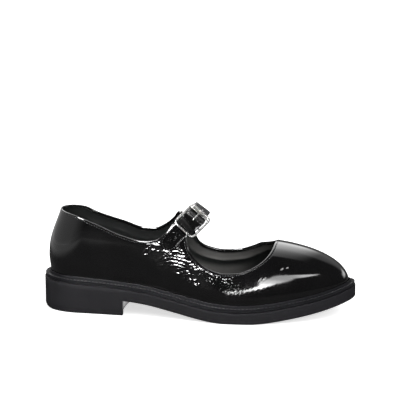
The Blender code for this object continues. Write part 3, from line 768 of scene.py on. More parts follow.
# creases pressed in by walking: each is a ridge through (along, height) points, then its width and height
creases = {
    "outer": [
        (((102.5, 62.6), (106.0, 62.4), (110.5, 61.6)), 0.6, 0.36),
        (((107.5, 65.0), (110.0, 63.3)), 0.5, 0.28),
        (((96.0, 55.6), (98.0, 58.0), (100.5, 58.2)), 0.6, 0.31),
        (((101.5, 55.4), (103.0, 57.4), (105.5, 57.6)), 0.6, 0.31),
        (((95.5, 52.6), (98.5, 53.3)), 0.6, 0.28),
        (((106.5, 56.6), (109.5, 57.2)), 0.5, 0.25),
        (((124.5, 62.4), (127.0, 61.9), (129.5, 60.8)), 0.55, 0.27),
        (((122.5, 60.0), (125.5, 59.9), (128.5, 58.6), (132.2, 57.7)), 0.6, 0.34),
        (((119.0, 57.2), (122.5, 57.2), (126.0, 57.4), (130.0, 56.2), (133.4, 55.6)), 0.55, 0.24),
        (((111.0, 57.0), (114.5, 57.2), (116.5, 56.5), (119.0, 55.2), (122.0, 54.5)), 0.6, 0.42),
        (((114.0, 54.2), (118.5, 54.8), (122.0, 54.3), (125.0, 53.6), (129.5, 53.2), (134.0, 53.2)),
         0.55, 0.31),
        (((110.8, 50.8), (112.5, 52.3), (114.0, 53.4)), 0.6, 0.42),
        (((113.2, 50.2), (116.0, 51.4)), 0.7, 0.48),
        (((116.2, 52.2), (119.0, 52.4), (122.0, 51.4), (126.0, 51.4), (131.0, 50.5), (136.0, 49.2)),
         0.6, 0.34),
        (((114.8, 47.9), (118.0, 48.0), (121.0, 49.0), (125.0, 48.4), (129.0, 47.3), (133.5, 46.4)),
         0.62, 0.38),
        (((118.4, 46.0), (121.0, 45.2), (123.5, 46.0), (127.0, 45.3), (132.4, 44.2)), 0.62, 0.38),
        (((124.6, 42.2), (127.5, 43.0), (130.0, 43.0)), 0.55, 0.34),
        (((124.8, 39.4), (127.5, 39.0), (131.0, 40.6), (136.2, 41.4)), 0.62, 0.43),
        (((131.4, 37.9), (134.0, 38.9), (137.0, 39.5)), 0.62, 0.43),
        (((132.2, 36.2), (133.0, 34.6), (134.8, 33.4)), 0.6, 0.38),
        (((136.0, 34.4), (138.4, 35.0)), 0.6, 0.38),
        (((137.0, 32.0), (138.3, 32.3)), 0.6, 0.36),
        (((139.8, 34.8), (142.9, 34.3)), 0.6, 0.34),
        (((141.0, 31.6), (143.4, 29.2), (145.0, 31.8)), 0.8, 0.50),
        (((134.8, 49.6), (138.6, 49.1)), 0.5, 0.24),
        (((136.2, 47.1), (140.6, 47.2)), 0.5, 0.26),
        (((139.6, 45.3), (142.0, 45.5)), 0.55, 0.26),
        (((140.4, 43.2), (143.0, 43.2), (145.2, 44.2)), 0.5, 0.29),
        (((136.8, 44.2), (139.4, 43.6)), 0.5, 0.20),
        (((112.0, 45.0), (113.4, 45.4)), 0.6, 0.31),
        (((62.8, 48.4), (65.0, 46.4), (67.6, 43.4)), 0.35, 0.09),
        (((213.0, 45.0), (215.2, 45.9)), 0.85, 0.42),
        (((217.0, 45.6), (219.6, 46.9)), 0.85, 0.42),
        (((196.4, 37.0), (197.4, 38.0)), 0.5, 0.14),
        (((199.6, 37.6), (200.8, 38.2)), 0.5, 0.14),
    ],
    "inner": [
        (((104.0, 62.0), (108.0, 61.4), (113.0, 60.0)), 0.6, 0.26),
        (((108.0, 57.6), (113.0, 57.4), (118.0, 55.4), (124.0, 54.0)), 0.6, 0.30),
        (((110.0, 52.6), (115.0, 53.0), (120.0, 51.2), (127.0, 50.6)), 0.62, 0.34),
        (((114.0, 48.0), (120.0, 48.2), (126.0, 46.4), (131.0, 45.6)), 0.62, 0.34),
        (((118.0, 44.0), (124.0, 43.6), (130.0, 41.4)), 0.6, 0.3),
        (((124.0, 39.2), (129.0, 38.2), (134.0, 37.6)), 0.6, 0.28),
        (((131.0, 34.2), (135.0, 33.4), (138.0, 31.4)), 0.6, 0.26),
    ],
}

# ripples beside the creases: along, height, reach, reach, slant in degrees, spacing, depth
ripples = {
    "outer": [
        (122.0, 53.0, 12.0, 8.0, -8.0, 1.5, 0.045),
        (150.0, 41.0, 10.0, 5.0, -58.0, 2.2, 0.050),
        (164.0, 36.0, 10.0, 6.0, -66.0, 2.4, 0.045),
        (168.0, 25.6, 5.0, 2.4, 76.0, 2.2, 0.030),
        (180.0, 26.0, 9.0, 2.8, 62.0, 2.6, 0.018),
        (195.0, 28.0, 9.0, 3.0, 58.0, 2.9, 0.016),
        (206.0, 33.5, 7.0, 3.0, 40.0, 3.4, 0.012),
    ],
    "inner": [
        (116.0, 54.0, 12.0, 8.0, -12.0, 1.6, 0.035),
        (150.0, 40.0, 12.0, 6.0, -50.0, 2.3, 0.040),
        (174.0, 34.0, 12.0, 6.0, -70.0, 2.6, 0.035),
    ],
}


def upperFeet(count):
    # where ribs start, much closer together where the leather is crumpled
    places = np.linspace(last["start"], last["end"], 2000)
    density = smoothCurve(upper["ribDensity"], places)
    growth = np.concatenate(([0.0], np.cumsum(0.5 * (density[1:] + density[:-1]))))
    even = np.interp(np.linspace(0.0, growth[-1], count), growth, places)
    toe = last["end"] - (last["end"] - upper["toeRibs"]) * np.cos(np.linspace(0.0, rightAngle, 34))
    heel = last["start"] + upper["heelRibs"] * (1.0 - np.cos(np.linspace(0.0, rightAngle, 22)))
    middle = even[(even > heel[-1] + 0.3) & (even < toe[0] - 0.3)]
    return np.concatenate((heel, middle, toe))


def sideName(side):
    return "outer" if side < 0 else "inner"


def pressedCreases(rows, x, y, wobble):
    # height of the nearest ridge: full along its middle, fading out at both tips
    total = np.zeros_like(x)
    for corners, width, height in rows:
        corners = np.array(corners, float)
        lengths = lengthsAlong(corners)
        fine = np.linspace(0.0, lengths[-1], max(5, int(lengths[-1] / 0.35)))
        px = np.interp(fine, lengths, corners[:, 0])
        py = np.interp(fine, lengths, corners[:, 1])
        py = py + 0.22 * wobble(px / 1.9, np.full_like(px, height * 90.0))
        fromTip = np.minimum(fine, lengths[-1] - fine)
        strength = np.sqrt(np.clip(fromTip / (0.22 * lengths[-1] + 0.4) + 0.25, 0, 1))
        near = (x > px.min() - 4) & (x < px.max() + 4) & (y > py.min() - 4) & (y < py.max() + 4)
        gap = (x[near][:, None] - px) ** 2 + (y[near][:, None] - py) ** 2
        ridge = (strength * np.exp(-gap / (2.0 * width * width))).max(axis=1)
        total[near] = np.maximum(total[near], height * ridge)
    return total


def ripple(rows, x, y, wobble):
    total = np.zeros_like(x)
    for px, py, rx, ry, slant, spacing, depth in rows:
        c, s = math.cos(math.radians(slant)), math.sin(math.radians(slant))
        down = -(x - px) * s + (y - py) * c
        level = (x - px) * c + (y - py) * s
        wander = 0.9 * wobble(level / 7.0 + px, down / 4.0) + 0.35 * wobble(level / 2.6, down / 2.2 + py)
        fold = np.sin(2.0 * math.pi * (down + wander) / spacing)
        strong = 0.55 + 0.45 * wobble(level / 5.0 + py, down / 2.4 + px)
        total += depth * strong * fold * np.exp(-((x - px) / rx) ** 2 - ((y - py) / ry) ** 2)
    return total


def upperSide(feet, shares, side, inset=0.0):
    # points and normals of one side, ribs by rows; the ribs end a little below the top edge
    tops = ribTop(feet)
    topTurns = toplineTurn(tops, side)
    onRidge = feet >= topline["fanEnd"]

    def ribs(share):
        along = feet[:, None] + (tops - feet)[:, None] * share
        return along, side * (rightAngle + (topTurns[:, None] - rightAngle) * share)

    full = shares[None, :] * np.ones((len(feet), 1))
    ribLength = np.linalg.norm(np.diff(lastSurface(*ribs(full)), axis=1), axis=2).sum(axis=1)
    reach = np.where(onRidge, 1.0, 1.0 - upper["edgeRadius"] / np.maximum(ribLength, 5.0))
    placed = ribs(full * reach[:, None])
    normals = lastNormal(*placed)
    return lastSurface(*placed) - inset * normals, normals, onRidge


def toplineRoute(side):
    # the top edge of one side with its outward normal
    throat = topline["throatFront"] - topline["fanStart"]
    shares = np.linspace(1.0, 0.0, 200)[1:] ** (1.0 / topline["throatRoundness"])
    places = np.concatenate((
        np.linspace(last["start"], topline["fanStart"], 900),
        topline["throatFront"] - throat * shares,
    ))
    turns = side * toplineTurn(places, side)
    return lastSurface(places, turns), lastNormal(places, turns)


def edgeDistance(points):
    # distance of each point from the top edge
    tree = searchTree(np.concatenate([toplineRoute(side)[0] for side in (-1, 1)]))
    distances = [tree.find(point)[2] for point in points.reshape(-1, 3)]
    return np.array(distances).reshape(points.shape[:-1])


def reliefOf(points, side, fromEdge, feet):
    # how far the leather stands out from the last, and how crumpled and pebbled it is
    x, z = points[..., 0], points[..., 2]
    name = sideName(side)
    spots = blobs(crinkleSpots[name], x, z)
    wobble = Noise(upper["seeds"][name])
    relief = ripple(ripples[name], x, z, wobble)
    relief += pressedCreases(creases[name], x, z, wobble)
    soft = Noise(upper["seeds"]["folds"])
    height, alongFold, upFold = upper["slackFolds"]
    relief += height * soft(x / alongFold, z / upFold) * (0.2 + spots)
    height, alongFold, upFold = upper["wrinkles"]
    relief += height * spots * wobble(x / alongFold, z / upFold)
    rise = z - featherHeight(x)
    tuckShare = smoothCurve(upper["tuck"], feet)[:, None]
    relief -= upper["tuckDepth"] * tuckShare * np.exp(-(np.maximum(rise, 0.0) / upper["tuckHeight"]) ** 2)
    start, change, least = upper["heelFirmness"]
    firm = np.clip((x - start) / change, least, 1.0)
    roll = firm * np.clip(1.0 - ((fromEdge - upper["rollCentre"]) / upper["rollCentre"]) ** 2, 0.0, 1.0)
    seam = firm * bell(fromEdge, upper["seamDistance"], upper["seamWidth"])
    start, change = upper["calmTop"]
    height, least = upper["calmFoot"]
    calm = np.clip((fromEdge - start) / change, 0.0, 1.0) * np.clip(rise / height, least, 1.0)
    relief = relief * calm - upper["seamDepth"] * seam + upper["rollHeight"] * roll
    crumple = np.clip(0.02 + spots, 0.0, 1.0) * np.clip(fromEdge / 2.5, 0.3, 1.0)
    pebbled = np.clip(blobs(pebbleSpots[name], x, z), 0.0, 1.0)
    return relief, crumple, pebbled * np.clip(fromEdge / 3.0, 0.0, 1.0)


def makeUpper():
    feet = upperFeet(upper["ribs"])
    sheets, crinkles, pebbles, faces = [], [], [], []
    first = 0
    for side in (-1, 1):
        count = upper["outerRows"] if side < 0 else upper["innerRows"]
        shares = 1.0 - (1.0 - np.linspace(0.0, 1.0, count)) ** upper["rowPower"]
        points, normals, onRidge = upperSide(feet, shares, side)
        relief, crumple, pebbled = reliefOf(points, side, edgeDistance(points), feet)
        skin = points + normals * relief[..., None]
        # turned edge: a half round from the skin to the inside of the wall
        top, topNormal = skin[:, -1], normals[:, -1]
        up = unit(top - skin[:, -4])
        edge = unit(np.gradient(top, axis=0))
        up = unit(up - edge * (up * edge).sum(axis=1)[:, None] * 0.9)
        rim = []
        for angle in np.linspace(0.0, math.pi, upper["edgeSteps"])[1:]:
            out = topNormal * (math.cos(angle) - 1.0) * 0.5 * upper["wall"]
            rim.append(top + out + up * math.sin(angle) * upper["edgeRadius"])
        rim += [rim[-1] - up * share * upper["turnedWidth"] for share in (0.35, 0.7, 1.0)]
        sheet = np.concatenate((skin, np.stack(rim, axis=1)), axis=1)
        sheets.append(sheet.reshape(-1, 3))
        plain = np.zeros((len(feet), len(rim)))
        crinkles.append(np.concatenate((crumple, plain + 0.04), axis=1).ravel())
        pebbles.append(np.concatenate((pebbled, plain), axis=1).ravel())
        # in front of the throat the two sides meet, so there is no edge to turn
        columns = sheet.shape[1]
        quads = np.array(gridFaces(len(feet), columns, first))
        isRim = (np.arange(len(quads)) % (columns - 1)) >= count - 1
        faces += quads[~(isRim & np.repeat(onRidge[:-1], columns - 1))].tolist()
        first += len(feet) * columns
    points = np.concatenate(sheets)
    piece = makeMesh("patentUpper", points, faces, "patent")
    paintPoints(piece, "crinkle", points, np.concatenate(crinkles))
    paintPoints(piece, "pebbles", points, np.concatenate(pebbles))
    finishPiece(piece, "patent_leather", "upper")


liningFit = {
    "ribs": 250,
    "rows": 34,
    "inset": 0.15,  # it overlaps the wall by this much
    "thickness": 0.5,
    "hem": (2.4, 1.2, 0.32),  # distance from the top edge, half width, height
    "waves": (21.0, 15.0, 0.22),  # spacing along and up, depth
    "ridge": (10.0, 0.55, 0.28),  # distance from the top edge, width, height
    "paintedSheenPlace": (164.0, 36.0, 0.05),  # where the painted sheen is strongest: along, reach, share elsewhere
    "lowerBand": (13.5, 5.0, 0.55),  # a second band of painted sheen lower down the wall: start, soft edge, strength
    "lowerPlace": (149.0, 26.0),
    "seed": 31,
}


def paintedLiningSheen(along, fromEdge):
    # painted sheen: the lining is painted paler from the hem down to its ridge, with a painted bright line
    # along the ridge, and again further down
    ridge = liningFit["ridge"][0]
    place, reach, elsewhere = liningFit["paintedSheenPlace"]
    band = np.clip((fromEdge - 2.2) / 1.6, 0.0, 1.0) * np.clip((ridge - fromEdge) / 0.9, 0.0, 1.0)
    band = band * (0.55 + 0.45 * fromEdge / ridge) + 0.8 * bell(fromEdge, ridge, 0.5)
    start, soft, strength = liningFit["lowerBand"]
    below = np.clip((fromEdge - start) / soft, 0.0, 1.0)
    lower = strength * below * bell(along, *liningFit["lowerPlace"], 4)
    return band * (elsewhere + 0.95 * bell(along, place, reach, 4)) + lower


def makeLining():
    # the inside of the wall, from under the turned edge down to the insole
    feet = upperFeet(liningFit["ribs"])
    shares = np.linspace(0.0, 1.0, liningFit["rows"])
    wobble = Noise(liningFit["seed"])
    sheets, paintedSheenShares, faces = [], [], []
    for side in (-1, 1):
        points, normals, _ = upperSide(feet, shares, side, upper["wall"] - liningFit["inset"])
        fromEdge = edgeDistance(points + normals * upper["wall"])
        # painted sheen: paler bands that stand in for light on the satin, kept at each point for the
        # material
        shade = paintedLiningSheen(points[..., 0], fromEdge)
        alongWave, upWave, depth = liningFit["waves"]
        wave = depth * wobble(points[..., 0] / alongWave, points[..., 2] / upWave)
        middle, half, height = liningFit["hem"]
        hem = height * np.clip(1.0 - np.abs(fromEdge - middle) / half, 0.0, 1.0)
        middle, width, height = liningFit["ridge"]
        inward = hem - wave * np.clip(fromEdge / 12.0, 0, 1) + height * bell(fromEdge, middle, width)
        points = points - normals * inward[..., None]
        back = points + normals * liningFit["thickness"]
        faces += gridFaces(len(feet), 2 * len(shares), len(sheets) * len(feet) * 2 * len(shares))
        sheets.append(np.concatenate((points, back[:, ::-1]), axis=1).reshape(-1, 3))
        paintedSheenShares.append(np.concatenate((shade, 0.0 * shade), axis=1).ravel())
    points = np.concatenate(sheets)
    piece = makeMesh("liningLeather", points, faces, "lining")
    paintPoints(piece, "wearAndPaintedSheen", points, np.concatenate(paintedSheenShares))
    finishPiece(piece, "lining_leather")


def makeToplineStitches():
    # one row of black thread round the collar and throat, just under the turned edge
    routes = []
    for side in (-1, 1):
        route, normals = toplineRoute(side)
        edge = unit(np.gradient(route, axis=0))
        down = np.cross(edge, normals) * (1.0 if side < 0 else -1.0)
        down = np.where(down[:, 2:3] > 0.25, -down, down)
        line = route + down * upper["seamDistance"] - normals * 0.5 * upper["seamDepth"]
        routes.append((line, normals))
    finishPiece(stitchMesh("toplineStitches", routes, upper["stitch"], "thread"), "patent_leather")


makeUpper()
makeLining()
makeToplineStitches()
print("upper, lining and topline stitches ready")


def roundProfile(corners, radius, steps):
    # a closed outline whose corners are rounded by short arcs
    outline = []
    count = len(corners)
    for i, corner in enumerate(corners):
        corner = np.array(corner, float)
        before = np.array(corners[i - 1], float) - corner
        after = np.array(corners[(i + 1) % count], float) - corner
        cut = min(radius, 0.42 * np.linalg.norm(before), 0.42 * np.linalg.norm(after))
        start = corner + unit(before) * cut
        end = corner + unit(after) * cut
        for t in np.linspace(0.0, 1.0, steps):
            outline.append((1 - t) ** 2 * start + 2 * t * (1 - t) * corner + t * t * end)
    return np.array(outline)


def makeWelt():
    edge = sole["edge"] - welt["inset"]
    bead = edge - welt["rim"]
    gap, height, low, high = (welt[name] for name in ("gap", "height", "flangeHeight", "beadHeight"))
    lineFoot, lineMiddle, lineTop = welt["line"]
    channel = [edge - reach for reach in welt["channel"]]
    lip = height + 0.05
    floor = height - welt["channelDepth"]
    profile = roundProfile([
        (edge, gap), (edge, lineFoot), (edge - welt["lineDepth"], lineMiddle), (edge, lineTop),
        (edge, height), (channel[0], lip), (channel[1], floor), (channel[2], floor), (channel[3], lip),
        (bead + 0.25, height - 0.1), (bead, high - 1.2), (bead - 0.35, high),
        (welt["beadGap"], high - 0.15), (welt["beadGap"], low),
        (-welt["flangeWidth"], low), (-welt["flangeWidth"], gap),
    ], welt["cornerRadius"], welt["cornerSteps"])
    stations = endedStations(welt["stations"])
    phase = 2.0 * math.pi * lengthsAlong(planRing(stations, edge)) / welt["markPitch"]
    marks = welt["markDepth"] * np.clip(np.sin(phase), -0.2, 1.0)
    rings = []
    for offset, lift in profile:
        ring = planRing(stations, offset, lift=lift)
        if bead - 0.4 < offset < bead + 0.3 and lift > height + 0.2:
            ring[:, 2] -= marks
        rings.append(ring)
    faces = gridFaces(len(rings), len(rings[0]), wrapRows=True, wrapColumns=True)
    piece = makeMesh("weltStrip", np.concatenate(rings), faces, "welt", sharpAngle=40.0)
    finishPiece(piece, "welt_rubber", "welt")


def makeWeltStitches():
    # a lockstitch lies in the channel of the rim
    middle = sole["edge"] - welt["inset"] - 0.5 * (welt["channel"][1] + welt["channel"][2])
    ring = planRing(endedStations(welt["stations"]), middle, lift=welt["height"] - welt["channelDepth"])
    route = np.concatenate((ring, ring[:1]))
    slope = unit(np.gradient(route, axis=0))
    normals = unit(np.array((0.0, 0.0, 1.0)) - slope * slope[:, 2:3])
    finishPiece(stitchMesh("weltStitches", [(route, normals)], welt["stitch"], "weltThread"), "welt_rubber")


def soleUnderside(along):
    bevel = sole["bevelRise"] * np.clip(1.0 - along / sole["bevelLength"], 0.0, 1.0) ** 2
    arch = np.maximum(0.0, soleTop(along) - sole["thickness"])
    return np.where(along <= sole["breast"], bevel, arch)


def treadDepth(points, halfShare):
    # shallow slanting grooves under the heel and the forefoot, with a plain rim
    x, y = points[..., 0], points[..., 1]
    phase = (x + sole["treadSlant"] * np.abs(y)) / sole["treadPitch"]
    fromGroove = np.abs((phase % 1.0) - 0.5) * sole["treadPitch"] - 0.5 * sole["treadWidth"]
    groove = 1.0 - np.clip(fromGroove / 0.5, 0.0, 1.0)
    inside = np.clip((sole["treadMargin"] - halfShare) / 0.03, 0.0, 1.0)
    start, margin = sole["heelTread"]
    heel = np.clip(x - start, 0, 1) * np.clip(sole["breast"] - margin - x, 0, 1)
    start, end = sole["foreTread"]
    fore = np.clip(x - start, 0, 1) * np.clip(end - x, 0, 1)
    return sole["treadDepth"] * groove * inside * np.maximum(heel, fore)


def ringBlock(name, rings, under, top, *finishes, sharpAngle=None):
    # walls made of rings, closed by a sheet across the first ring and one across the last;
    # under and top give each sheet's number of columns and what shapes it
    half = len(rings[0]) // 2 + 1
    points = list(rings)
    faces = gridFaces(len(rings), len(rings[0]), wrapColumns=True)
    for ring, (columns, shape) in ((rings[0], under), (rings[-1], top)):
        inner = np.concatenate((ring[:1], ring[half:][::-1], ring[half - 1:half]))
        share = np.linspace(0.0, 1.0, columns)[None, :, None]
        sheet = ring[:half, None, :] * (1 - share) + inner[:, None, :] * share
        if shape:
            shape(sheet, np.abs(2.0 * share[..., 0] - 1.0))
        faces += gridFaces(half, columns, sum(len(part) for part in points))
        points.append(sheet.reshape(-1, 3))
    points = np.concatenate(points)
    return makeMesh(name, points, faces, *finishes, sharpAngle=sharpAngle), points


def makeOutsole():
    edge, soft, breast, slope = (sole[name] for name in ("edge", "softening", "breast", "breastSlope"))
    front = [breast - slope - 0.6, breast - slope, breast + slope, breast + slope + 0.6]
    stations = endedStations(sole["stations"])
    stations = np.sort(np.concatenate((stations[np.abs(stations - breast) > 0.5], front)))
    rings = []
    for share in np.linspace(0.0, 1.0, 5)[:-1]:
        angle = share * rightAngle
        reach = edge - soft + soft * math.sin(angle)
        rings.append(planRing(stations, reach, soleUnderside, soft - soft * math.cos(angle)))
    for share in np.linspace(0.0, 1.0, 7):
        ring = planRing(stations, edge)
        foot = soleUnderside(ring[:, 0]) + soft
        ring[:, 2] = foot + (ring[:, 2] - 0.6 - foot) * share
        rings.append(ring)
    # over the lip, then up a step inside the welt
    step = -welt["flangeWidth"] - welt["gap"]
    upward = [(edge + reach, lift) for reach, lift in sole["lip"]]
    upward += [(step, -0.1), (step - welt["gap"], welt["flangeHeight"] - 0.3)]
    rings += [planRing(stations, reach, lift=lift) for reach, lift in upward]

    def shapeUnderside(sheet, fromMiddle):
        # tread, and the hollow front of the heel block
        sheet[..., 2] += treadDepth(sheet, fromMiddle)
        near = np.clip(1.0 - np.abs(stations - breast) / sole["breastReach"], 0.0, 1.0)[:, None]
        inside = np.minimum(1.0, 4.0 * (1.0 - fromMiddle))
        hollow = np.maximum(0.0, 1.0 - (sheet[..., 1] / sole["breastHalfWidth"]) ** 2)
        sheet[..., 0] -= sole["breastHollow"] * hollow * near * inside

    under = (sole["columns"], shapeUnderside)
    piece, _ = ringBlock("rubberOutsole", rings, under, (4, None), "rubber", "heelFace", sharpAngle=38.0)
    place = toMetres([[breast, 0.0, 0.0]])[0, 0]
    for polygon in piece.data.polygons:
        onFront = abs(polygon.center.x - place) < sole["breastHollow"] * mm + 0.001
        if onFront and polygon.normal.x > 0.7:
            polygon.material_index = 1
    finishPiece(piece, "outsole_rubber", "outsole")


insole = {
    "inset": 2.3,
    "thickness": 2.5,
    "dish": 0.7,
    "dishWidth": 25.0,
    "paintedSheen": (7.0, 12.0, 0.55),  # painted light and shade: paler inside its rim, darker by the walls: start, soft edge, strength
    "stations": 200,
    "columns": 36,
}


def makeInsole():
    # a covered footbed, slightly dished, that rises at its rim
    stations = endedStations(insole["stations"])
    low = welt["flangeHeight"] + welt["gap"]
    high = low + insole["thickness"]
    profile = ((0.5, low), (0.0, low + 0.5), (0.0, high - 0.6), (0.25, high - 0.15), (0.8, high))
    rings = [planRing(stations, -insole["inset"] - inward, lift=lift) for inward, lift in profile]

    def dish(sheet, fromMiddle):
        narrow = np.clip(lastHalfWidth(stations) / insole["dishWidth"], 0, 1)[:, None]
        sheet[..., 2] -= insole["dish"] * (1.0 - fromMiddle ** 2) * narrow

    top = (insole["columns"], dish)
    piece, points = ringBlock("footbed", rings, (3, None), top, "lining", sharpAngle=50.0)
    # painted light: the footbed is painted paler away from its rim and stays dark by the walls, as painted
    # shade
    along = points[:, 0]
    fromRim = lastHalfWidth(along) - np.abs(points[:, 1] - planMiddle(along))
    start, soft, strength = insole["paintedSheen"]
    paintPoints(piece, "wearAndPaintedSheen", points, strength * np.clip((fromRim - start) / soft, 0.0, 1.0))
    finishPiece(piece, "lining_leather", "insole")


makeWelt()
makeWeltStitches()
makeOutsole()
makeInsole()
print("welt, outsole and footbed ready")


strap = {
    "line": [  # turn from the ridge in degrees, along
        (-80.0, 104.1), (-66.0, 115.0), (-50.0, 126.4), (-35.0, 135.5), (-18.0, 140.0),
        (0.0, 141.5), (20.0, 139.0), (45.0, 128.0), (70.0, 112.0),
    ],
    "lift": [  # distance from the buckle's bar, free height under the strap
        (-40.0, 0.35), (-9.5, 0.35), (-5.0, 2.2), (-1.2, 4.4),
        (1.2, 4.4), (5.0, 2.0), (9.5, 0.35), (90.0, 0.35),
    ],
    "width": 15.0,
    "thickness": 1.2,
    "edge": 0.5,
    "flatTop": (0.7, -0.92),  # share of each half that is flat, toe side first
    "crown": 0.2,
    "crownFade": (-10.0, 5.0, 0.15),  # the free end lies flatter: place, change, least share
    "curl": 0.18,  # how far the free end's heel side lifts
    "curlPlace": (-6.0, 4.0),
    "fillBuckle": 1.5,  # how far the soft strap spreads to each side inside the buckle
    "fillPlace": (3.0, 8.0),
    "bends": [(13.0, 6.0, 1.0), (-13.0, 5.0, 0.4)],  # where it is creased: distance, reach, share
    "bendDepth": 0.13,
    "waveDepth": 0.05,
    "tip": -31.0,
    "innerEnd": 66.0,
    "tipRound": 6.5,
    "tipBlunt": 0.1,
    "holes": (-14.5, -21.5),
    "holeRadius": 0.9,
    "slot": (0.6, 5.8),
    "slotWidth": 2.0,
    "seamInset": 1.6,
    "seamWidth": 0.4,
    "seamDepth": 0.03,
    "stitch": (1.6, 2.25, 0.42, 0.25),  # length, pitch, width, how deep its ends sink
    "stitchStops": (-9.5, 10.0),  # the rows of stitches stop here on both sides of the buckle's bar
    "calm": 0.10,  # how crinkled it is between its spots
    "crinkles": [  # distance, reach in metres, strength
        (14.0, 0.010, 0.8), (-13.0, 0.007, 0.5), (-24.0, 0.007, 0.35),
    ],
    "pebbleShare": 1.2,
    "pebbleLimit": 0.4,
    "steps": 230,
    "sectionSteps": 22,
    "seed": 47,
}

buckle = {
    "turn": -35.0,  # degrees from the ridge to its bar
    "length": 25.6,
    "width": 22.4,
    "shift": 1.8,  # its middle is this far beyond the bar
    "restLength": 3.0,
    "restHeights": (-0.35, 0.12, 0.02),  # the flat rest: underside, both edges, middle
    "restBow": 0.9,
    "innerWire": 0.5,
    "wire": 0.95,
    "corner": 3.6,
    "plane": 2.3,  # height of its plane above the last
    "bar": 0.7,
    "prong": 0.55,
    "prongRise": [(1.2, 0.95), (2.0, 1.65), (3.0, 2.1), (4.5, 2.26), (6.0, 2.25), (9.5, 2.0)],
    "prongTip": [(0.0, 1.0), (0.8, 1.0), (0.96, 0.75), (1.0, 0.3)],
    "ring": 1.35,
    "ringWire": 0.42,
    "steps": 60,
    "barSteps": 24,
    "ringSteps": 40,
}

tab = {
    "width": 10.5,
    "thickness": 0.7,
    "loopInner": 0.92,
    "loopOuter": 1.62,
    "slot": (6.2, 2.6, 12.0),  # room for the pin's ring: along, across, up
    "steps": 60,
    "level": [(-30.0, -3.3), (-12.0, -3.3), (-9.5, -3.0), (-1.0, 0.7), (5.0, 0.7)],
    "start": -23.0,
    "end": 0.6,
    "crinkle": 0.15,
}


class StrapPath:
    # the strap's middle line on the last, in millimetres from the buckle's bar
    def __init__(self):
        self.turns = np.radians(np.linspace(strap["line"][0][0], strap["line"][-1][0], 600))
        self.alongs = fairCurve(strap["line"], 1, 3.0)(np.degrees(self.turns))
        lengths = lengthsAlong(lastSurface(self.alongs, self.turns))
        self.lengths = lengths - np.interp(math.radians(buckle["turn"]), self.turns, lengths)

    def at(self, distances):
        turns = np.interp(distances, self.lengths, self.turns)
        return np.interp(distances, self.lengths, self.alongs), turns

    def frames(self, distances):
        distances = np.atleast_1d(np.asarray(distances, float))
        points = lastSurface(*self.at(distances))
        forward = unit(lastSurface(*self.at(distances + 1.2)) - lastSurface(*self.at(distances - 1.2)))
        normals = lastNormal(*self.at(distances))
        across = unit(np.cross(forward, normals))
        return points, forward, across, np.cross(across, forward)


strapPath = StrapPath()


def axesMatrix(x, y, z, place):
    # stands a thing at this place with its own axes along these
    matrix = Matrix((x, y, z)).transposed().to_4x4()
    matrix.translation = place
    return matrix


def bucklePlane():
    points, forward, across, normals = strapPath.frames(0.0)
    place = Vector(toMetres(points[0] + normals[0] * buckle["plane"]))
    return axesMatrix(forward[0], across[0], normals[0], place)


def strapHalfWidth(distances):
    tip = (strap["tip"] + strap["tipRound"] - distances) / strap["tipRound"]
    end = (distances - strap["innerEnd"] + strap["tipRound"]) / strap["tipRound"]
    return 0.5 * strap["width"] * np.maximum(strap["tipBlunt"], roundedEnd(tip, 2.0) * roundedEnd(end, 2.0))


def bandSection(half, thickness, crown, edge, count):
    # a band's cross-section: flat below, rounded at both edges and slightly crowned on top
    angles = np.linspace(0.0, math.pi, count // 4)
    width = half - edge + edge * np.sin(angles)
    height = 0.5 * thickness - 0.5 * thickness * np.cos(angles)
    top = (half - edge) * np.linspace(*strap["flatTop"], count // 2)
    below = (half - edge) * np.linspace(-0.7, 0.7, count // 4)
    outline = np.concatenate((
        np.column_stack((width, height)),
        np.column_stack((top, np.full_like(top, thickness))),
        np.column_stack((-width, thickness - height)),
        np.column_stack((below, np.zeros_like(below))),
    ))
    lifted = outline[:, 1] / thickness
    outline[:, 1] += crown * lifted * np.clip(1.0 - (outline[:, 0] / half) ** 2, 0.0, 1.0)
    return outline


def loft(name, rows, finish, closed=False):
    # joins sections of points into a bar, or into a ring where it is closed
    count, sides = len(rows), len(rows[0])
    faces = gridFaces(count, sides, wrapRows=True, wrapColumns=True) if closed else tubeFaces(count, sides)
    return makeMesh(name, np.concatenate(rows), faces, finish, sharpAngle=50.0)


def cutWith(piece, cutters, operation="DIFFERENCE"):
    for cutter in cutters:
        modifier = piece.modifiers.new(cutter.name, "BOOLEAN")
        modifier.operation = operation
        modifier.object = cutter
        modifier.solver = "EXACT"
    bpy.context.view_layer.update()
    graph = bpy.context.evaluated_depsgraph_get()
    done = bpy.data.meshes.new_from_object(piece.evaluated_get(graph))
    piece.modifiers.clear()
    piece.data = done
    for cutter in cutters:
        bpy.data.objects.remove(cutter, do_unlink=True)


def cylinderCutter(name, radius, length, matrix):
    bpy.ops.mesh.primitive_cylinder_add(vertices=32, radius=radius * mm, depth=length * mm)
    cutter = bpy.context.object
    cutter.name = name
    cutter.matrix_world = matrix
    return cutter


def boxCutter(name, size, matrix):
    bpy.ops.mesh.primitive_cube_add(size=1.0)
    cutter = bpy.context.object
    cutter.name = name
    cutter.matrix_world = matrix @ Matrix.Diagonal((*(side * mm for side in size), 1.0))
    return cutter


